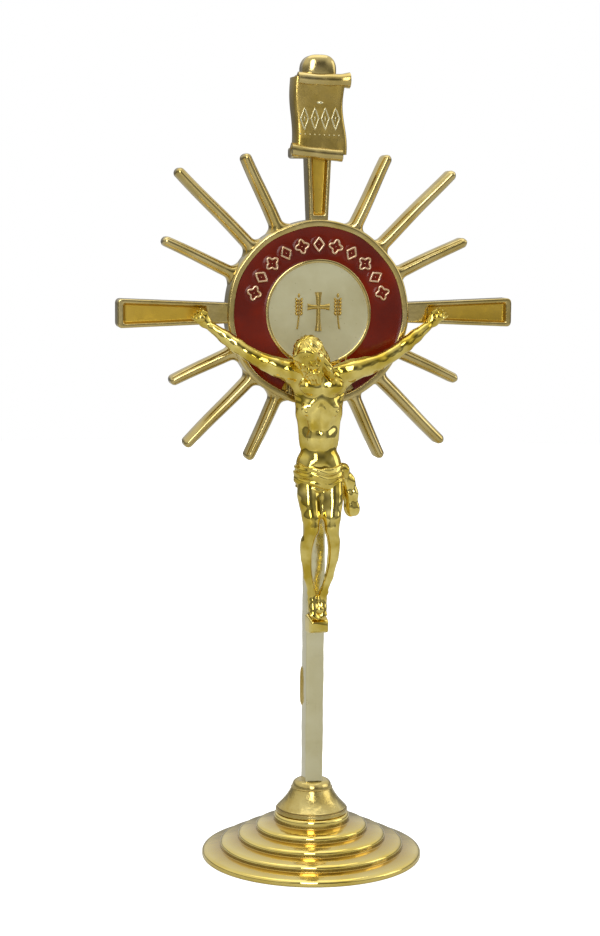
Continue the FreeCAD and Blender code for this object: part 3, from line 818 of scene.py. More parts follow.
def joinShapes(shapes):
    # several closed shapes gathered into one list of points and faces
    points, faces, start = [], [], 0
    for verts, quads in shapes:
        quads = quads.tolist() if isinstance(quads, np.ndarray) else quads
        points.append(np.asarray(verts).reshape(-1, 3))
        faces += [[index + start for index in face] for face in quads]
        start += len(points[-1])
    return np.concatenate(points), faces


def addBandOrnament():
    # by turns a four-lobed line, whose radius is 0.8 + 0.2 cos 4a, and a lozenge line, each with a
    # boss inside
    a = np.linspace(0, 2 * np.pi, 56, endpoint=False)
    size, front = ornament["size"], enamelFront - ornament["proud"]
    shapes = []
    for k, angle in enumerate(motifAngles):
        if k % 2 == 0:
            reach = size * (0.8 + 0.2 * np.cos(4 * a))
            wide, tall = reach * np.sin(a), reach * np.cos(a)
        else:
            reach = size / (np.abs(np.cos(a)) + 1.35 * np.abs(np.sin(a))) ** 0.94
            wide, tall = reach * np.sin(a), reach * np.cos(a)
        r = ornament["radius"] + tall
        path = np.stack([r * np.sin(angle) + wide * np.cos(angle),
                         centreZ + r * np.cos(angle) - wide * np.sin(angle)], -1)
        shapes.append(raisedLine(path, ornament["line"], front, cupFloor))
        shapes.append(dome(ornament["radius"] * math.sin(angle),
                           centreZ + ornament["radius"] * math.cos(angle),
                           0.26, 0.26, front + 0.05, cupFloor))
    verts, faces = joinShapes(shapes)
    addPiece("bandOrnament", verts, faces, gilt["roseGilt"], "upright", "sunburst_cross", 70)


def addHostOrnament():
    # a plain cross with slightly spread ends between two ears of wheat, whose grains are leaning mounds
    front = enamelFront - ornament["proud"] + 0.02
    tall, wide, bar = ornament["crossHalfTall"], ornament["crossHalfWide"], ornament["crossBar"]
    shapes = []
    s = np.linspace(-1, 1, 24)
    for half, vertical in ((tall, True), (wide, False)):
        spread = bar * (0.62 + 0.45 * np.abs(s) ** 3)
        lift = 0 if vertical else 0.9
        t = np.linspace(0, np.pi, 9)
        across = np.concatenate([np.cos(t), [-1.0, 1.0]])[None, :] * spread[:, None]
        depth = np.concatenate([front + (cupFloor - front) * 0.4 * (1 - np.sin(t)), [cupFloor, cupFloor]])
        along = (half * s)[:, None] + 0 * across
        x, z = (across, along) if vertical else (along, across)
        points = np.stack([x, np.broadcast_to(depth, x.shape), centreZ + 0.3 + lift + z], -1)
        shapes.append(closedTube(points))
    for side in (1, -1):
        x0, reach = side * ornament["wheatX"], ornament["wheatHalf"]
        z = np.linspace(-reach, reach * 0.7, 16)
        stalk = np.stack([x0 + side * 0.35 * (z / reach) ** 2 * (z < 0), centreZ + 0.3 + z], -1)
        shapes.append(raisedLine(stalk, 0.22, front + 0.06, cupFloor, closed=False))
        for row in range(5):
            level = centreZ + 0.3 + reach * (-0.12 + 0.2 * row)
            for leaning in (1, -1):
                shapes.append(dome(x0 + leaning * 0.5, level, 0.38, 0.66, front, cupFloor, leaning * 0.5))
        shapes.append(dome(x0, centreZ + 0.3 + reach * 0.93, 0.36, 0.66, front, cupFloor))
    verts, faces = joinShapes(shapes)
    # the whole ornament takes 0.45 of the painted shade tone
    addPiece("hostOrnament", verts, faces, gilt["castGilt"], "upright", "sunburst_cross", 70,
             np.full(len(verts), 0.45))


addRedBand()
addIvoryHost()
addBandOrnament()
addHostOrnament()
print("monstrance: enamel and ornament made")


# parchment scroll and the knob above it

scroll = {
    "baseZ": 140.1,
    "topZ": 156.4,
    "half": 5.05,
    "proud": 1.0,
    "rollRadius": 1.3,
    "knobHalf": 3.35,
    "knobTall": 4.6,
    "waist": 0.3,
    "motifZ": 147.6,
    # each roll: its level from the nearer edge, shift, half length, slope and sag of its axis
    "topRoll": (-1.3, 0.75, 5.1, 0.12, 0.18),
    "baseRoll": (1.0, -0.55, 5.0, 0.5, 0.1),
    "topBack": (5.05, 1.15),       # half width and half height of the backing behind each roll
    "baseBack": (4.9, 1.1),
}


def addScrollSheet():
    # a sheet whose sides follow an S (a sine of the height), its face dished a little between the rolls
    u = np.linspace(-1, 1, 61)[None, :]
    v = np.linspace(0, 1, 70)[:, None]
    z0, z1 = scroll["baseZ"] + 0.8, scroll["topZ"] - 0.6
    sway = 0.28 * np.sin(v * 2 * np.pi + 0.5) - 0.25 * (v - 0.5)
    half = scroll["half"] - scroll["waist"] * np.sin(v * np.pi) ** 2
    softU = np.sign(u) * (1 - (1 - np.abs(u)) ** 1.6)
    x = half * softU + sway
    z = z0 + (z1 - z0) * v + 0.25 * softU * (v - 0.5)
    fromEdge = half * (1 - np.abs(softU))
    front = barFront - scroll["proud"] + 0.35 + 0.45 * np.exp(-fromEdge / 0.22)
    front = front + 0.25 * np.sin(v * np.pi) ** 2
    front = front + 0.04 * np.sin(9 * v + 2 * u)
    # the whole recessed front takes half of the painted shade tone
    piece = reliefSlab("scrollSheet", x, z, front, barBack, gilt["castGilt"], "upright", "sunburst_cross", 80,
                       0.5)


def addScrollRoll(name, z, shift, radius, half, slope, sag, curlSide):
    # a roll lying across the sheet: a round section carried along x, its axis sloping and sagging, its end
    # on the curl side fuller; the end faces sink towards the middle like a rolled edge
    s = np.linspace(-1, 1, 50)
    grow = 1 + 0.16 * smoothStep(s * curlSide, 0.55, 1.0)
    r = radius * grow * (1 + 0.04 * np.sin(7 * s))
    x = shift + half * s
    zMid = z - slope * s + sag * (s ** 2 - 0.4)
    ends = [(x[0] + 0.55, 0.3), (x[0] + 0.1, 0.62), (x[0] - 0.08, 0.86)]
    xs = np.concatenate([[e[0] for e in ends], x, [x[-1] + 0.08, x[-1] - 0.1, x[-1] - 0.55]])
    rs = np.concatenate([[r[0] * e[1] for e in ends], r, r[-1] * np.array([0.86, 0.62, 0.3])])
    zs = np.concatenate([[zMid[0]] * 3, zMid, [zMid[-1]] * 3])
    t = np.linspace(0, 2 * np.pi, 40, endpoint=False)[None, :]
    yMid = barFront - scroll["proud"] + radius - 0.15
    points = np.stack([xs[:, None] + 0 * t, yMid - rs[:, None] * np.cos(t),
                       zs[:, None] + rs[:, None] * np.sin(t)], -1)
    verts, faces = closedTube(points)
    addPiece(name, verts, faces, gilt["castGilt"], "upright", "sunburst_cross", 60)


def addScrollBack(name, z, shift, half, tall):
    # the roll's solid backing: a rounded oblong carried from the roll's axis to the back
    corner = np.array([(-half, -tall), (half, -tall), (half, tall), (-half, tall)], dtype=float)
    outline = softCorners(corner, 0.7, 7)
    y = np.array([barFront - 0.2, barFront + 0.2, 0.0, barBack - 0.35, barBack - 0.12])
    shrink = np.array([1, 1, 1, 1, 0.95])
    points = np.empty((len(y), len(outline), 3))
    points[..., 0] = shift + outline[None, :, 0] * shrink[:, None]
    points[..., 1] = y[:, None]
    points[..., 2] = z + outline[None, :, 1] * shrink[:, None]
    verts, faces = closedTube(points)
    addPiece(name, verts, faces, gilt["castGilt"], "upright", "sunburst_cross", 50)


def addKnob():
    # the arm's rounded end above the scroll: sides straight, then closing as a half oval; front edge soft
    half, tall = scroll["knobHalf"], scroll["knobTall"]
    a = np.linspace(0, np.pi, 40)
    arch = np.stack([half * np.cos(a) * (np.abs(np.cos(a)) ** -0.35),
                     topZ - tall * 0.62 + tall * 0.62 * np.sin(a)], -1)
    base = topZ - tall - 1.0
    outline = np.vstack([[(half, base)], arch, [(-half, base)]])
    t = np.linspace(0, 1, 12) * np.pi / 2
    y = np.concatenate([barFront - 0.25 + 1.35 * (1 - np.cos(t)), [barBack - 0.5, barBack - 0.18]])
    inset = np.concatenate([0.12 + 0.88 * np.sin(t), [1.0, 0.93]])
    middleZ = topZ - tall * 0.55
    points = np.empty((len(y), len(outline), 3))
    points[..., 0] = outline[None, :, 0] * inset[:, None]
    points[..., 1] = y[:, None]
    points[..., 2] = middleZ + (outline[None, :, 1] - middleZ) * inset[:, None]
    verts, faces = closedTube(points)
    addPiece("topKnob", verts, faces, gilt["castGilt"], "upright", "sunburst_cross", 50)


def addScrollOrnament():
    # four upright lozenge lines, and a row of beads under them
    shapes = []
    front = barFront - scroll["proud"] + 0.3
    back = front + 0.7
    a = np.linspace(0, 2 * np.pi, 48, endpoint=False)
    level = scroll["motifZ"]
    for k in range(4):
        x = (k - 1.5) * 2.05 - 0.1
        reach = 1 / (np.abs(np.sin(a)) / 0.75 + np.abs(np.cos(a)) / 2.1)
        path = np.stack([x + reach * np.sin(a), level + reach * np.cos(a)], -1)
        shapes.append(raisedLine(path, 0.2, front, back))
        shapes.append(dome(x, level, 0.24, 0.7, front + 0.05, back))
    for k in range(9):
        shapes.append(dome((k - 4) * 0.95 - 0.15, level - 2.9 - 0.03 * k, 0.3, 0.26, front, back))
    shapes.append(dome(-0.1, level + 3.1, 0.85, 0.45, front - 0.05, back))
    verts, faces = joinShapes(shapes)
    addPiece("scrollOrnament", verts, faces, gilt["paleReflectionGilt"], "upright", "sunburst_cross", 70)


addScrollSheet()
topLevel, topShift, *topRun = scroll["topRoll"]
baseLevel, baseShift, *baseRun = scroll["baseRoll"]
addScrollRoll("scrollRollTop", scroll["topZ"] + topLevel, topShift, scroll["rollRadius"], *topRun, 1)
addScrollRoll("scrollRollBase", scroll["baseZ"] + baseLevel, baseShift, scroll["rollRadius"] * 0.95,
              *baseRun, -1)
addScrollBack("scrollBackTop", scroll["topZ"] + topLevel, topShift, *scroll["topBack"])
addScrollBack("scrollBackBase", scroll["baseZ"] + baseLevel, baseShift, *scroll["baseBack"])
addKnob()
addScrollOrnament()
print("monstrance: scroll made")


# figure: worked out as a distance field, because its limbs, hair and cloth run into one another

figure = {
    "bodyCell": 0.17,              # the fields' grid steps, and how many rounds smooth each surface
    "headCell": 0.085,
    "clothCell": 0.12,
    "bodySmoothing": 16,
    "headSmoothing": 1,
    "clothSmoothing": 5,
    "handX": 23.6,
    "handZ": 109.2,
    "headPlace": (-3.1, -9.9, 101.8),
    "bow": 34.0,
    "lean": 13.0,
    "turn": 30.0,
}


def newField(low, high, cell):
    axes = [np.arange(a, b, cell, dtype=np.float32) for a, b in zip(low, high)]
    value = np.full([len(a) for a in axes], 3.0, dtype=np.float32)
    return {"axes": axes, "cell": cell, "value": value}


def spreadAxes(field):
    # the grid's x, y and z, each shaped to spread over the whole field
    x, y, z = field["axes"]
    return x[:, None, None], y[None, :, None], z[None, None, :]


def blendShape(field, shape, low, high, soft=0.5, carve=False):
    # joins a shape to the field, or cuts it out, within its own box; two distances a and b meet in
    # min(a, b) less a quarter of soft times (1 - |a - b| / soft)^2, which rounds the join
    margin = 1.3
    part = []
    for axis, a, b in zip(field["axes"], low, high):
        first = np.searchsorted(axis, a - margin)
        part.append(slice(first, max(np.searchsorted(axis, b + margin), first + 1)))
    x = field["axes"][0][part[0]][:, None, None]
    y = field["axes"][1][part[1]][None, :, None]
    z = field["axes"][2][part[2]][None, None, :]
    new = shape(x, y, z)
    old = field["value"][tuple(part)]
    sign = -1 if carve else 1
    round2 = np.maximum(1 - np.abs(new - sign * old) / soft, 0) ** 2 * soft * 0.25
    field["value"][tuple(part)] = sign * (np.minimum(sign * old, new) - round2)


def addLimb(field, knots, soft=0.5, carve=False):
    # round bars between successive (x, y, z, radius) knots, the radius changing evenly along each
    for a, b in zip(knots, knots[1:]):
        a, b = np.array(a, dtype=np.float32), np.array(b, dtype=np.float32)
        step = b[:3] - a[:3]
        length2 = float(step @ step)

        def bar(x, y, z):
            px, py, pz = x - a[0], y - a[1], z - a[2]
            t = np.clip((px * step[0] + py * step[1] + pz * step[2]) / length2, 0, 1)
            away = np.sqrt((px - t * step[0]) ** 2 + (py - t * step[1]) ** 2 + (pz - t * step[2]) ** 2)
            return away - (a[3] + t * (b[3] - a[3]))

        reach = max(a[3], b[3])
        blendShape(field, bar, np.minimum(a[:3], b[:3]) - reach, np.maximum(a[:3], b[:3]) + reach, soft,
                   carve)


def addOval(field, centre, radii, soft=0.5, carve=False, turn=0.0):
    # an ellipsoid, turned about the front-to-back line; its distance is k(k - 1) / |p / r^2| with k = |p / r|
    c, s = math.cos(math.radians(turn)), math.sin(math.radians(turn))
    rx, ry, rz = radii

    def oval(x, y, z):
        px, py, pz = x - centre[0], y - centre[1], z - centre[2]
        px, pz = px * c + pz * s, pz * c - px * s
        k = np.sqrt((px / rx) ** 2 + (py / ry) ** 2 + (pz / rz) ** 2)
        slope = np.sqrt((px / rx ** 2) ** 2 + (py / ry ** 2) ** 2 + (pz / rz ** 2) ** 2)
        return k * (k - 1) / np.maximum(slope, 1e-4)

    widest = max(rx, rz)
    low = (centre[0] - widest, centre[1] - ry, centre[2] - widest)
    high = (centre[0] + widest, centre[1] + ry, centre[2] + widest)
    blendShape(field, oval, low, high, soft, carve)


def surfaceOfField(field, rounds):
    # one point in each cell that the surface crosses, at the mean of its edge crossings, and one quad round
    # each grid edge whose ends lie on either side; then light smoothing that keeps the volume
    value, cell = field["value"], field["cell"]
    inside = value < 0
    count = np.zeros([n - 1 for n in value.shape], dtype=np.int8)
    for dx in (0, 1):
        for dy in (0, 1):
            for dz in (0, 1):
                count += inside[dx:dx + count.shape[0], dy:dy + count.shape[1], dz:dz + count.shape[2]]
    cells = np.argwhere((count > 0) & (count < 8))
    index = np.full(count.shape, -1, dtype=np.int32)
    index[tuple(cells.T)] = np.arange(len(cells))
    offsets = np.array([(i, j, k) for i in (0, 1) for j in (0, 1) for k in (0, 1)])
    corner = np.stack([value[tuple((cells + o).T)] for o in offsets], 1)
    total, crossings = np.zeros((len(cells), 3)), np.zeros((len(cells), 1))
    for a in range(8):
        for b in range(a + 1, 8):
            if np.abs(offsets[a] - offsets[b]).sum() != 1:
                continue
            va, vb = corner[:, a], corner[:, b]
            crossed = (va < 0) != (vb < 0)
            t = np.where(crossed, va / np.where(crossed, va - vb, 1), 0)[:, None]
            total += crossed[:, None] * (offsets[a] + t * (offsets[b] - offsets[a]))
            crossings += crossed[:, None]
    points = cells + total / crossings
    faces = []
    for axis in range(3):
        ends = np.diff(inside.astype(np.int8), axis=axis)
        edges = np.argwhere(ends != 0)
        u, v = [i for i in range(3) if i != axis]
        edges = edges[(edges[:, u] > 0) & (edges[:, v] > 0)]
        edges = edges[(edges[:, u] < count.shape[u]) & (edges[:, v] < count.shape[v])]
        du, dv = np.eye(3, dtype=int)[u], np.eye(3, dtype=int)[v]
        quad = np.stack([index[tuple((edges - a * du - b * dv).T)]
                         for a, b in ((1, 1), (0, 1), (0, 0), (1, 0))], 1)
        flip = (ends[tuple(edges.T)] > 0) ^ (axis == 1)
        quad[flip] = quad[flip][:, ::-1]
        faces.append(quad)
    faces = np.concatenate(faces)
    for share in (0.5, -0.52, 0.5, -0.52) + (0.45,) * rounds:
        points = points + share * towardsNeighbours(points, faces)
    low = np.array([a[0] for a in field["axes"]], dtype=float)
    return low + points * cell, faces


def towardsNeighbours(points, faces):
    # for each point, the step from it to the mean of the points it shares an edge with
    a = faces.ravel()
    b = np.roll(faces, -1, axis=1).ravel()
    both, other = np.concatenate([a, b]), np.concatenate([b, a])
    n = np.maximum(np.bincount(both, minlength=len(points)), 1)[:, None]
    mean = np.stack([np.bincount(both, points[other, k], len(points)) for k in range(3)], 1) / n
    return mean - points


def creaseShade(points, faces, cell):
    # painted shade for creases: 1 in creases and 0 on open skin: how far the neighbours' mean stands out
    # along the normal, spread twice
    corner = points[faces]
    normal = np.cross(corner[:, 2] - corner[:, 0], corner[:, 3] - corner[:, 1])
    vertexNormal = np.stack([np.bincount(faces.ravel(), np.repeat(normal[:, k], 4), len(points))
                             for k in range(3)], 1)
    vertexNormal /= np.maximum(np.linalg.norm(vertexNormal, axis=1, keepdims=True), 1e-12)
    sunk = (towardsNeighbours(points, faces) * vertexNormal).sum(1, keepdims=True)
    for _ in range(3):
        sunk = sunk + 0.6 * towardsNeighbours(np.repeat(sunk, 3, 1), faces)[:, :1]
    return np.clip(sunk[:, 0] / (0.024 * cell / 0.12), 0, 1)


def addFieldPiece(name, field, material, rounds, place=None):
    points, faces = surfaceOfField(field, rounds)
    # painted shade, darkest in the creases
    paintedShade = creaseShade(points, faces, field["cell"])
    if place is not None:
        points = points @ place["turn"].T + place["at"]
    faces = faces if signedVolume(points, faces) > 0 else faces[:, ::-1]
    mesh = bpy.data.meshes.new(name)
    mesh.vertices.add(len(points))
    mesh.vertices.foreach_set("co", (points * mm).ravel())
    mesh.loops.add(faces.size)
    mesh.loops.foreach_set("vertex_index", faces.ravel().astype(np.int32))
    mesh.polygons.add(len(faces))
    mesh.polygons.foreach_set("loop_start", np.arange(0, faces.size, 4, dtype=np.int32))
    mesh.polygons.foreach_set("use_smooth", np.ones(len(faces), dtype=bool))
    mesh.update(calc_edges=True)
    mesh.validate()
    mesh.attributes.new("paintedShade", "FLOAT", "POINT").data.foreach_set("value", paintedShade.astype(np.float32))
    mesh.materials.append(material)
    piece = bpy.data.objects.new(name, mesh)
    collection.objects.link(piece)
    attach(piece, "upright")
    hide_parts("corpus")
    print("monstrance:", name, len(faces) * 2, "triangles")
    return piece


def signedVolume(points, faces):
    a, b, c, d = (points[faces[:, k]] for k in range(4))
    return float(np.einsum("ij,ij->", a, np.cross(b, c)) + np.einsum("ij,ij->", a, np.cross(c, d)))


def addArm(field, side):
    # shoulder to wrist, then a cupped palm with four curled fingers and a thumb
    s = side
    addLimb(field, [(s * 4.2 - 0.4, -6.9, 98.6, 2.0), (s * 6.4 - 0.3, -7.0, 99.2, 2.05),
                    (s * 9.0 - 0.2, -6.9, 99.9, 1.85), (s * 11.4, -6.7, 100.8, 1.6),
                    (s * 13.4, -6.4, 101.8, 1.42), (s * 14.8, -6.2, 102.6, 1.38),
                    (s * 16.8, -5.8, 104.0, 1.48), (s * 19.0, -5.3, 105.6, 1.28),
                    (s * 21.3, -4.8, 107.3, 1.02)], 0.6)
    addOval(field, (s * 9.6, -7.6, 100.6), (2.3, 1.0, 1.1), 0.5, turn=s * 20)
    addOval(field, (s * 9.9, -6.4, 99.3), (2.6, 1.1, 0.9), 0.5, turn=s * 20)
    addOval(field, (s * 16.6, -6.4, 104.0), (1.9, 0.85, 0.85), 0.4, turn=s * 36)
    addLimb(field, [(s * 14.5, -6.9, 102.9, 0.3), (s * 19.6, -5.9, 106.4, 0.22)], 0.5)
    # the hollow under the arm, between the chest muscle and the back
    addLimb(field, [(s * 5.0 - 0.4, -6.0, 96.6, 1.1), (s * 7.6 - 0.3, -6.4, 98.6, 0.9)], 0.8)
    along = np.array([s * 0.72, 0.0, 0.69])
    across = np.array([-s * 0.69, 0.0, 0.72])
    palm = np.array([figure["handX"] * s - s * 0.7, -4.35, figure["handZ"] - 0.6])
    addLimb(field, [tuple(palm - along * 1.5) + (0.8,), tuple(palm) + (0.75,)], 0.4)
    addOval(field, palm, (1.6, 0.65, 1.35), 0.3, turn=s * 44)
    addLimb(field, [(figure["handX"] * s, -4.2, figure["handZ"], 0.75),
                    (figure["handX"] * s, barFront - 0.05, figure["handZ"], 0.75)], 0.25)
    front = np.array([0.0, -1.0, 0.0])
    for k in range(4):
        base = palm + along * 1.1 + across * (k - 1.5) * 0.62
        spread = across * (k - 1.5) * 0.16
        middle = base + along * (1.15 - 0.14 * abs(k - 1.2)) + spread + front * 0.15
        tip = middle + along * 0.45 + front * (0.6 + 0.12 * k)
        addLimb(field, [tuple(base) + (0.36,), tuple(middle) + (0.33,), tuple(tip) + (0.26,)], 0.1)
    thumb = palm + across * 0.95 + along * 0.2
    addLimb(field, [tuple(thumb) + (0.38,), tuple(thumb + across * 0.5 + along * 0.7 + front * 0.2) + (0.33,),
                    tuple(thumb + across * 0.35 + along * 1.3 + front * 0.55) + (0.25,)], 0.12)


def addLeg(field, side):
    # thigh, kneecap, shin with its calf, ankle bones, and a foot with five toes
    s = side
    c = -0.35
    addLimb(field, [(c + s * 2.1, -5.9, 79.6, 2.4), (c + s * 2.3, -7.3, 74.6, 2.2),
                    (c + s * 2.05, -8.6, 70.4, 1.75),
                    (c + s * 2.0, -8.9, 68.2, 1.5)], 0.5)
    addLimb(field, [(c + s * 2.7, -7.2, 77.5, 1.5), (c + s * 2.6, -8.2, 73.0, 1.3),
                    (c + s * 2.1, -8.9, 69.5, 0.9)], 0.9)
    addOval(field, (c + s * 1.95, -9.45, 68.6), (1.0, 0.9, 1.5), 0.7)
    addLimb(field, [(c + s * 2.0, -8.9, 68.2, 1.42), (c + s * 2.6, -8.2, 65.6, 1.22),
                    (c + s * 2.65, -7.3, 62.0, 1.06),
                    (c + s * 2.1, -6.4, 58.2, 0.88), (c + s * 1.2, -5.8, 55.2, 0.8)], 0.4)
    addOval(field, (c + s * 2.95, -7.3, 64.4), (1.0, 1.3, 2.5), 0.6)
    addLimb(field, [(c + s * 2.2, -9.6, 67.2, 0.3), (c + s * 2.35, -8.3, 62.0, 0.3),
                    (c + s * 1.8, -6.9, 57.5, 0.25)], 0.35)
    addOval(field, (c + s * 1.8, -5.8, 54.9), (0.5, 0.5, 0.5), 0.4)
    front = -0.35 if s < 0 else 0.0
    addLimb(field, [(c + s * 1.05, -5.5, 55.0, 0.86), (c + s * 1.0, -5.2 + front, 53.6, 0.98),
                    (c + s * 0.95, -5.6 + front, 51.8, 0.95), (c + s * 0.95, -6.1 + front, 50.7, 0.75)], 0.35)
    for k in range(5):
        x = c + s * (0.25 + 0.38 * k)
        big = 0.31 - 0.028 * k
        top = 50.5 + 0.1 * k
        addLimb(field, [(x, -6.25 + front, top, big), (x, -6.75 + front, top - 0.65 + 0.07 * k, big)], 0.1)


def makeBody():
    field = newField((-27.2, -12.4, 47.4), (27.2, -1.9, 112.2), figure["bodyCell"])
    addOval(field, (-0.4, -5.7, 80.8), (4.5, 2.9, 3.7), 0.8)
    addOval(field, (-0.45, -6.0, 86.0), (3.5, 2.5, 5.2), 1.3)
    addOval(field, (-0.5, -6.4, 92.8), (4.2, 2.95, 5.0), 1.2)
    addOval(field, (-0.55, -6.8, 97.0), (4.8, 2.55, 2.8), 0.9)
    for s in (-1, 1):
        addLimb(field, [(s * 4.3 - 0.5, -6.6, 97.4, 1.2), (s * 3.6 - 0.5, -6.1, 90.5, 0.9),
                        (s * 3.3 - 0.4, -5.8, 84.5, 0.6)], 0.9)
        addOval(field, (s * 2.25 - 0.6, -8.75, 96.0), (2.2, 1.1, 1.6), 0.45, turn=s * 14)
        addLimb(field, [(-0.6 + s * 1.0, -8.4, 99.2, 0.45), (-0.6 + s * 4.8, -8.0, 99.9, 0.4)], 0.4)
        addOval(field, (s * 2.5 - 0.7, -8.5, 91.7), (1.55, 0.55, 1.4), 0.6, turn=-s * 30)
        for k in range(3):
            z = 93.7 - 1.25 * k
            addLimb(field, [(s * 1.9 - 0.5, -9.5, z - 0.2, 0.14), (s * 3.8 - 0.5, -8.3, z + 0.5, 0.16),
                            (s * 4.8 - 0.5, -6.6, z + 1.0, 0.12)], 0.35, carve=True)
        addLimb(field, [(-0.7, -9.6, 93.2, 0.18), (s * 1.7 - 0.7, -9.2, 91.4, 0.2),
                        (s * 3.1 - 0.7, -8.3, 89.4, 0.16)], 0.5, carve=True)
        addOval(field, (s * 1.1 - 0.9, -8.2, 89.0), (1.05, 0.5, 1.5), 0.6)
        addOval(field, (s * 1.1 - 0.9, -8.1, 86.0), (1.05, 0.45, 1.7), 0.7)
        addLimb(field, [(s * 3.9 - 0.4, -7.4, 84.3, 0.2), (s * 1.7 - 0.4, -8.8, 81.6, 0.2)], 0.6, carve=True)
    addLimb(field, [(-0.6, -9.9, 97.4, 0.2), (-0.65, -9.85, 94.0, 0.22)], 0.5, carve=True)
    addLimb(field, [(-0.8, -8.9, 91.4, 0.1), (-0.9, -8.8, 85.6, 0.1)], 0.5, carve=True)
    addOval(field, (-0.95, -8.65, 87.4), (0.3, 0.4, 0.42), 0.25, carve=True)
    addLimb(field, [(-0.6, -7.2, 98.6, 2.0), (-1.9, -8.4, 100.0, 1.5), (-2.9, -9.2, 101.2, 1.4)], 0.8)
    for s in (-1, 1):
        addArm(field, s)
        addLeg(field, s)
    addLimb(field, [(-0.35, -5.9, 79.5, 1.8), (-0.35, -6.8, 75.5, 1.5), (-0.35, -7.7, 71.5, 1.0)], 1.0)
    addLimb(field, [(-0.2, -5.4, 51.6, 1.0), (0.0, barFront - 0.05, 51.6, 0.9)], 0.3)
    addFieldPiece("figureBody", field, gilt["brightGilt"], figure["bodySmoothing"])


def carveStrands(field, strands, depth, where):
    # fine waving grooves: a sine of `strands` across the surface, as deep as `depth` where the mask is 1
    x, y, z = spreadAxes(field)
    field["value"] += depth * where(x, y, z) * strands(x, y, z)


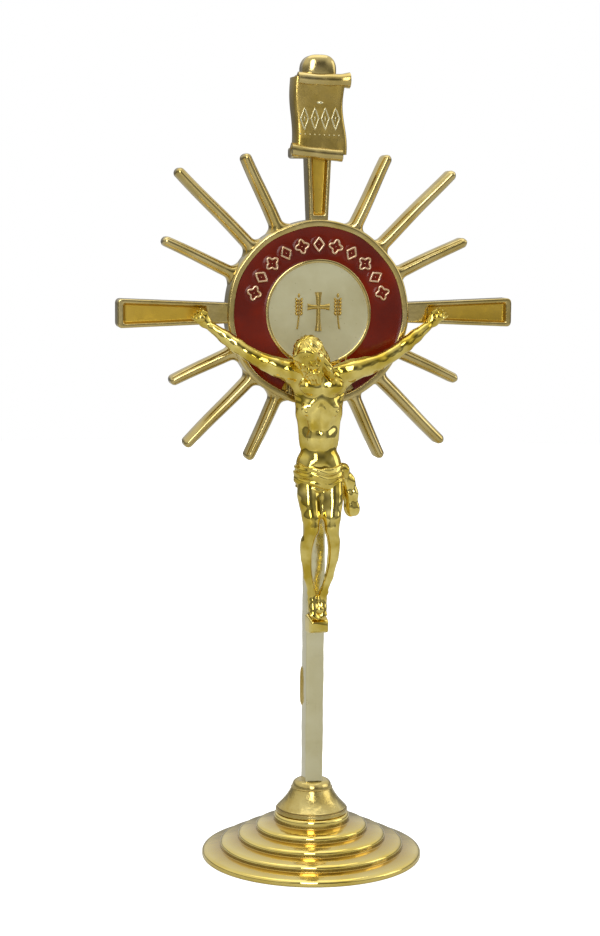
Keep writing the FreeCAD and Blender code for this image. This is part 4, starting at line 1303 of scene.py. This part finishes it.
def makeHead():
    # built upright and facing forward round the middle of the skull, then bowed, leaned and turned into place
    f = newField((-4.6, -5.2, -7.2), (4.6, 4.6, 4.9), figure["headCell"])
    addOval(f, (0, 0.35, 1.1), (2.5, 2.95, 2.6), 0.5)
    addOval(f, (0, -0.75, -0.9), (1.95, 2.15, 2.7), 0.7)
    addOval(f, (0, -1.9, 1.35), (1.75, 1.1, 1.15), 0.5)                                             # forehead
    addLimb(f, [(0, 0.6, -1.5, 1.6), (0, 0.9, -4.6, 1.6)], 0.6)                                     # neck
    for s in (-1, 1):
        addOval(f, (s * 0.98, -3.05, 0.12), (0.66, 0.55, 0.44), 0.35, carve=True)  # eye hollow
        addOval(f, (s * 0.98, -2.42, 0.1), (0.52, 0.5, 0.36), 0.12)  # closed lid
        addLimb(f, [(s * 0.52, -2.98, 0.0, 0.05), (s * 0.98, -3.05, -0.14, 0.05),
                    (s * 1.42, -2.78, -0.02, 0.05)],
                0.1, carve=True)                                                                    # lid line
        addLimb(f, [(s * 0.35, -2.95, 0.62, 0.2), (s * 0.95, -2.98, 0.74, 0.22), (s * 1.65, -2.5, 0.5, 0.2)],
                0.3)
        addOval(f, (s * 1.35, -2.15, -0.75), (0.65, 0.6, 0.5), 0.5)                                 # cheek
        addOval(f, (s * 0.34, -3.28, -1.02), (0.24, 0.28, 0.2), 0.15)  # nostril wing
        addLimb(f, [(s * 0.12, -3.2, -1.5, 0.26), (s * 0.75, -2.98, -1.72, 0.24),
                    (s * 1.3, -2.45, -2.35, 0.2)], 0.2)
    addLimb(f, [(0, -2.85, 0.45, 0.24), (0, -3.3, -0.35, 0.27), (0, -3.62, -0.92, 0.32)], 0.25)     # nose
    addOval(f, (0, -3.0, -1.82), (0.62, 0.3, 0.16), 0.12)
    addOval(f, (0, -2.97, -2.14), (0.52, 0.32, 0.19), 0.12)
    addLimb(f, [(-0.5, -3.3, -1.97, 0.045), (0.5, -3.3, -1.97, 0.045)], 0.08, carve=True)  # lips meet
    addOval(f, (0, -1.55, -2.9), (1.75, 1.35, 1.35), 0.35)                                          # beard
    for s in (-1, 1):
        addLimb(f, [(s * 1.75, -1.4, -0.9, 0.5), (s * 1.45, -1.6, -2.6, 0.7), (s * 0.55, -2.1, -4.2, 0.62),
                    (s * 0.42, -2.0, -5.0, 0.3)], 0.35)
        # hair: parted in the middle, drawn back over the ears, and down in locks
        addLimb(f, [(s * 0.35, -1.9, 2.75, 0.75), (s * 1.75, -1.6, 1.9, 0.7), (s * 2.35, -0.9, 0.4, 0.75),
                    (s * 2.45, -0.5, -1.4, 0.8), (s * 2.4, 0.0, -3.2, 0.75), (s * 2.2, 0.2, -4.8, 0.6)], 0.45)
        addLimb(f, [(s * 1.6, 1.2, 1.2, 1.3), (s * 1.7, 1.6, -1.6, 1.2), (s * 1.6, 1.9, -4.4, 0.95)], 0.5)
    addLimb(f, [(2.5, -0.8, -0.6, 0.7), (3.0, -0.9, -2.6, 0.75), (3.05, -0.8, -4.6, 0.7),
                (2.7, -0.9, -6.2, 0.45)], 0.4)
    addOval(f, (0, 0.55, 1.75), (2.78, 3.1, 2.45), 0.3)  # crown of the head

    def hairWaves(x, y, z):
        side = np.arctan2(np.abs(x), -(y - 0.4)) * 5.0
        return np.sin(side * 2.6 + 0.9 * np.sin(z * 1.5 + x) + z * 0.5) + 0.4 * np.sin(side * 5.3 + z * 1.1)

    def hairMask(x, y, z):
        behind = smoothStep(np.abs(x) * 0.9 + y * 0.75 + 0.28 * z, 0.15, 0.75)
        return behind * np.ones_like(x + y + z)

    def beardWaves(x, y, z):
        return np.sin(x * 7.5 * (1 - 0.08 * z) + 0.8 * np.sin(z * 2.6))

    def beardMask(x, y, z):
        return smoothStep(-z, 2.3, 2.9) * smoothStep(-y, 0.6, 1.4) * (np.abs(x) < 2.2)

    carveStrands(f, hairWaves, 0.085, hairMask)
    carveStrands(f, beardWaves, 0.08, beardMask)
    # a twisted band round the brow: two thin strands winding about a ring
    ring = np.linspace(0, 2 * np.pi, 49)
    for strand in (0, np.pi):
        r = 0.15 * np.cos(11 * ring + strand)
        h = 0.15 * np.sin(11 * ring + strand)
        xs, ys = (2.82 + r) * np.sin(ring), 0.4 - (3.05 + r) * np.cos(ring)
        zs = 1.85 + h + 0.3 * np.cos(ring)
        knots = [(a, b, c, 0.15) for a, b, c in zip(xs, ys, zs)]
        addLimb(f, knots, 0.08)
    bow, lean, turn = (math.radians(figure[k]) for k in ("bow", "lean", "turn"))
    tip = np.array([[1, 0, 0], [0, math.cos(bow), -math.sin(bow)], [0, math.sin(bow), math.cos(bow)]])
    tilt = np.array([[math.cos(lean), 0, -math.sin(lean)], [0, 1, 0], [math.sin(lean), 0, math.cos(lean)]])
    swing = np.array([[math.cos(turn), math.sin(turn), 0], [-math.sin(turn), math.cos(turn), 0], [0, 0, 1]])
    place = {"turn": swing @ tilt @ tip, "at": np.array(figure["headPlace"])}
    addFieldPiece("figureHead", f, gilt["brightGilt"], figure["headSmoothing"], place)


def makeCloth():
    # a band rolled round the hips in folds that dip at the middle, a knot on one hip and its hanging end
    f = newField((-6.6, -12.0, 68.6), (9.4, -1.9, 83.0), figure["clothCell"])
    addOval(f, (-0.4, -6.15, 78.6), (5.05, 3.75, 5.6), 0.4)
    x, y, z = spreadAxes(f)
    level = z + 0.9 * (1 - (x / 4.6) ** 2) + 0.18 * np.sin(1.1 * x + 0.6)
    folds = 0.26 * (np.abs(np.sin(np.pi * level / 1.35 + 0.35 * np.sin(0.8 * x))) - 0.55)
    folds = folds + 0.07 * np.sin(np.pi * level / 0.5 + x)
    f["value"] -= folds
    top = 80.9 - 0.75 * (1 - (x / 4.6) ** 2) + 0.12 * np.sin(2.3 * x)
    base = 76.1 - 0.65 * (1 - (x / 4.6) ** 2) + 0.15 * np.sin(2.0 * x + 1)
    cut = np.maximum(z - top, base - z) + 0 * y
    f["value"] = np.maximum(f["value"], cut.astype(np.float32))
    # the knot on the hip, and its end hanging in a fold
    addOval(f, (4.35, -6.6, 79.7), (1.25, 1.15, 1.2), 0.4)
    addLimb(f, [(3.9, -7.0, 80.4, 0.55), (4.9, -7.2, 79.6, 0.6), (4.5, -7.0, 78.7, 0.5)], 0.2)
    addLimb(f, [(4.5, -6.2, 79.3, 1.0), (5.5, -6.0, 77.2, 1.3), (6.1, -5.8, 74.6, 1.5),
                (6.2, -5.7, 72.2, 1.3)], 0.6)
    addOval(f, (6.4, -6.0, 71.6), (1.6, 1.2, 1.6), 0.7)
    addLimb(f, [(5.0, -7.7, 78.0, 0.3), (5.9, -7.8, 75.6, 0.45), (6.3, -7.7, 73.6, 0.4)], 0.6, carve=True)
    drape = smoothStep(x, 3.9, 4.6) * smoothStep(79.3 - z, 0, 1.2)
    f["value"] += 0.07 * drape * np.sin(3.4 * (x - 0.16 * (79 - z)) + 1.6 * y)
    addFieldPiece("figureCloth", f, gilt["brightGilt"], figure["clothSmoothing"])


def makeFootRest():
    # a small wedge under the feet: an oblong carried from the upright forwards, narrowing a little
    y = np.array([barFront + 0.02, -3.2, -5.2, -6.6, -7.0])
    half = np.array([2.0, 2.0, 1.9, 1.8, 1.55])
    low = np.array([46.5, 46.5, 46.7, 47.1, 47.4])
    high = np.array([50.0, 50.0, 49.8, 49.5, 49.2])
    corner = np.array([(-1, 0), (1, 0), (1, 1), (-1, 1)], dtype=float)
    outline = np.empty((len(y), 4, 2))
    outline[..., 0] = corner[None, :, 0] * half[:, None]
    outline[..., 1] = low[:, None] + corner[None, :, 1] * (high - low)[:, None]
    section = softCorners(outline, 0.35, 6)
    points = np.stack([section[..., 0] - 0.1, np.broadcast_to(y[:, None], section.shape[:2]),
                       section[..., 1]], -1)
    verts, faces = closedTube(points)
    piece = addPiece("footRest", verts, faces, gilt["brightGilt"], "upright", "corpus", 50)


makeBody()
makeHead()
makeCloth()
makeFootRest()
print("monstrance: figure made")


# nails, nut and washers keep their CAD shape and get their own finish

def paintNode(node, material):
    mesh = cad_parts[node].data
    mesh.materials.clear()
    mesh.materials.append(material)


for node in ("hand_nail_left", "hand_nail_right", "foot_nail"):
    paintNode(node, gilt["brightGilt"])
for node in ("flat_washer", "hex_nut"):
    paintNode(node, zincSteel)
paintNode("spring_washer", springSteel)


# floor, lights and camera

stage = {
    "camera": (-87.32, -410.82, 132.0),
    "aim": (-2.81, 0.60, 79.05),
    "lens": 81.7846,
    "sensor": 36.0,
    "roll": 0.45,
    "floorReach": 0.75,
    "floorGlow": 0.95,
    "floorDark": (0.50, 0.50, 0.49, 1),
    "floorPale": (0.54, 0.54, 0.53, 1),
    # height of the ray from -1 to 1, and brightness
    "frontLight": [(-1, 0.3), (-0.5, 0.75), (-0.3, 0.42), (-0.17, 0.64), (-0.08, 0.5), (0.12, 0.12),
                   (0.42, 0.12), (0.7, 0.95)],
    "backLight": [(-1, 0.4), (-0.2, 0.3), (-0.03, 0.16), (0.1, 0.3), (0.26, 0.7), (0.6, 0.75), (1, 0.9)],
    "sideLight": [(-1, 0.4), (-0.2, 0.25), (-0.03, 0.16), (0.2, 0.35), (0.45, 0.85), (1, 0.9)],
    "sideFrom": 0.34,
    "sideTo": 0.62,
    "lightAim": (0, 0, 0.08),
    # place, width, height and power of each light, in metres and watts
    "keyLight": ((-0.23, -0.95, 0.55), 0.30, 0.8, 4.4),
    "fillLight": ((0.95, -0.15, 0.40), 0.5, 0.6, 1.2),
    "topLight": ((0.0, 0.10, 0.9), 0.8, 0.8, 1.6),
}


def addFloor():
    # a plain white sweep: it glows a little for the camera only, so that it reads as white up to the foot
    mesh = bpy.data.meshes.new("floor")
    a = np.linspace(0, 2 * np.pi, 96, endpoint=False)
    rim = np.stack([stage["floorReach"] * np.cos(a), stage["floorReach"] * np.sin(a), 0 * a], -1)
    mesh.from_pydata(rim.tolist(), [], [list(range(len(a)))])
    floor = bpy.data.objects.new("floor", mesh)
    collection.objects.link(floor)
    material, tree, shader = newMaterial("paleFloor", Roughness=0.7)
    place = addNode(tree, "ShaderNodeTexCoord").outputs["Object"]
    noise = addNode(tree, "ShaderNodeTexNoise", {"Vector": place}, Scale=20.0, Detail=2.0)
    tone = addNode(tree, "ShaderNodeMix", data_type="RGBA")
    tree.links.new(noise.outputs["Fac"], tone.inputs[0])
    tone.inputs[6].default_value = stage["floorDark"]
    tone.inputs[7].default_value = stage["floorPale"]
    tree.links.new(tone.outputs[2], shader.inputs["Base Color"])
    seen = addNode(tree, "ShaderNodeLightPath").outputs["Is Camera Ray"]
    shader.inputs["Emission Color"].default_value = (1, 1, 1, 1)
    tree.links.new(math2(tree, "MULTIPLY", seen, stage["floorGlow"]), shader.inputs["Emission Strength"])
    mesh.materials.append(material)


def addLight(name):
    place, width, height, power = stage[name]
    data = bpy.data.lights.new(name, "AREA")
    data.shape = "RECTANGLE"
    data.size, data.size_y = width, height
    data.energy = power
    light = bpy.data.objects.new(name, data)
    collection.objects.link(light)
    light.location = place
    aimAt(light, stage["lightAim"])


def aimAt(thing, target):
    direction = Vector(target) - Vector(thing.location)
    thing.rotation_euler = direction.to_track_quat("-Z", "Y").to_euler()


def addRamp(tree, source, stops):
    # a grey ramp from (height of the ray, brightness) pairs; the height runs from -1 to 1
    ramp = addNode(tree, "ShaderNodeValToRGB")
    half = math2(tree, "MULTIPLY_ADD", source, 0.5)
    half.node.inputs[2].default_value = 0.5
    tree.links.new(half, ramp.inputs["Fac"])
    elements = ramp.color_ramp.elements
    elements[0].position, elements[1].position = 0.0, 1.0
    for element, (_, value) in zip((elements[0], elements[1]), (stops[0], stops[-1])):
        element.color = (value, value, 0.97 * value, 1)
    for height, value in stops[1:-1]:
        element = elements.new(0.5 + 0.5 * height)
        element.color = (value, value, 0.97 * value, 1)
    return ramp.outputs["Color"]


def addWorld():
    # a studio tent: bright above, darkest about the horizon; the front, the back and the sides each have
    # a ramp of their own, and the camera sees it all white
    world = bpy.data.worlds.new("studio")
    bpy.context.scene.world = world
    world.use_nodes = True
    tree = world.node_tree
    background = tree.nodes["Background"]
    place = addNode(tree, "ShaderNodeTexCoord").outputs["Generated"]
    parts = addNode(tree, "ShaderNodeSeparateXYZ", {"Vector": place})
    inFront = addRamp(tree, parts.outputs["Z"], stage["frontLight"])
    behind = addRamp(tree, parts.outputs["Z"], stage["backLight"])
    facing = addNode(tree, "ShaderNodeMapRange", {"Value": parts.outputs["Y"]}, From_Min=-0.45, From_Max=0.35)
    aside = addNode(tree, "ShaderNodeMapRange", {"Value": math2(tree, "ABSOLUTE", parts.outputs["X"])},
                    From_Min=stage["sideFrom"], From_Max=stage["sideTo"])
    beside = addRamp(tree, parts.outputs["Z"], stage["sideLight"])
    middle = addNode(tree, "ShaderNodeMix", {0: facing.outputs[0], 6: inFront, 7: behind}, data_type="RGBA")
    around = addNode(tree, "ShaderNodeMix", {0: aside.outputs[0], 6: middle.outputs[2], 7: beside},
                     data_type="RGBA")
    seen = addNode(tree, "ShaderNodeLightPath").outputs["Is Camera Ray"]
    mix = addNode(tree, "ShaderNodeMix", {0: seen, 6: around.outputs[2]}, data_type="RGBA")
    mix.inputs[7].default_value = (1, 1, 1, 1)
    tree.links.new(mix.outputs[2], background.inputs["Color"])
    background.inputs["Strength"].default_value = 1.0


def addCamera():
    data = bpy.data.cameras.new("camera")
    camera = bpy.data.objects.new("camera", data)
    collection.objects.link(camera)
    data.sensor_width = stage["sensor"]
    data.lens = stage["lens"]
    data.clip_start = 0.01
    camera.location = tuple(c * mm for c in stage["camera"])
    aimAt(camera, tuple(c * mm for c in stage["aim"]))
    camera.rotation_euler.rotate_axis("Z", math.radians(stage["roll"]))
    bpy.context.scene.camera = camera


addFloor()
addWorld()
addCamera()
for name in ("keyLight", "fillLight", "topLight"):
    addLight(name)
bpy.context.scene.view_settings.view_transform = "Standard"
print("monstrance: stage set")
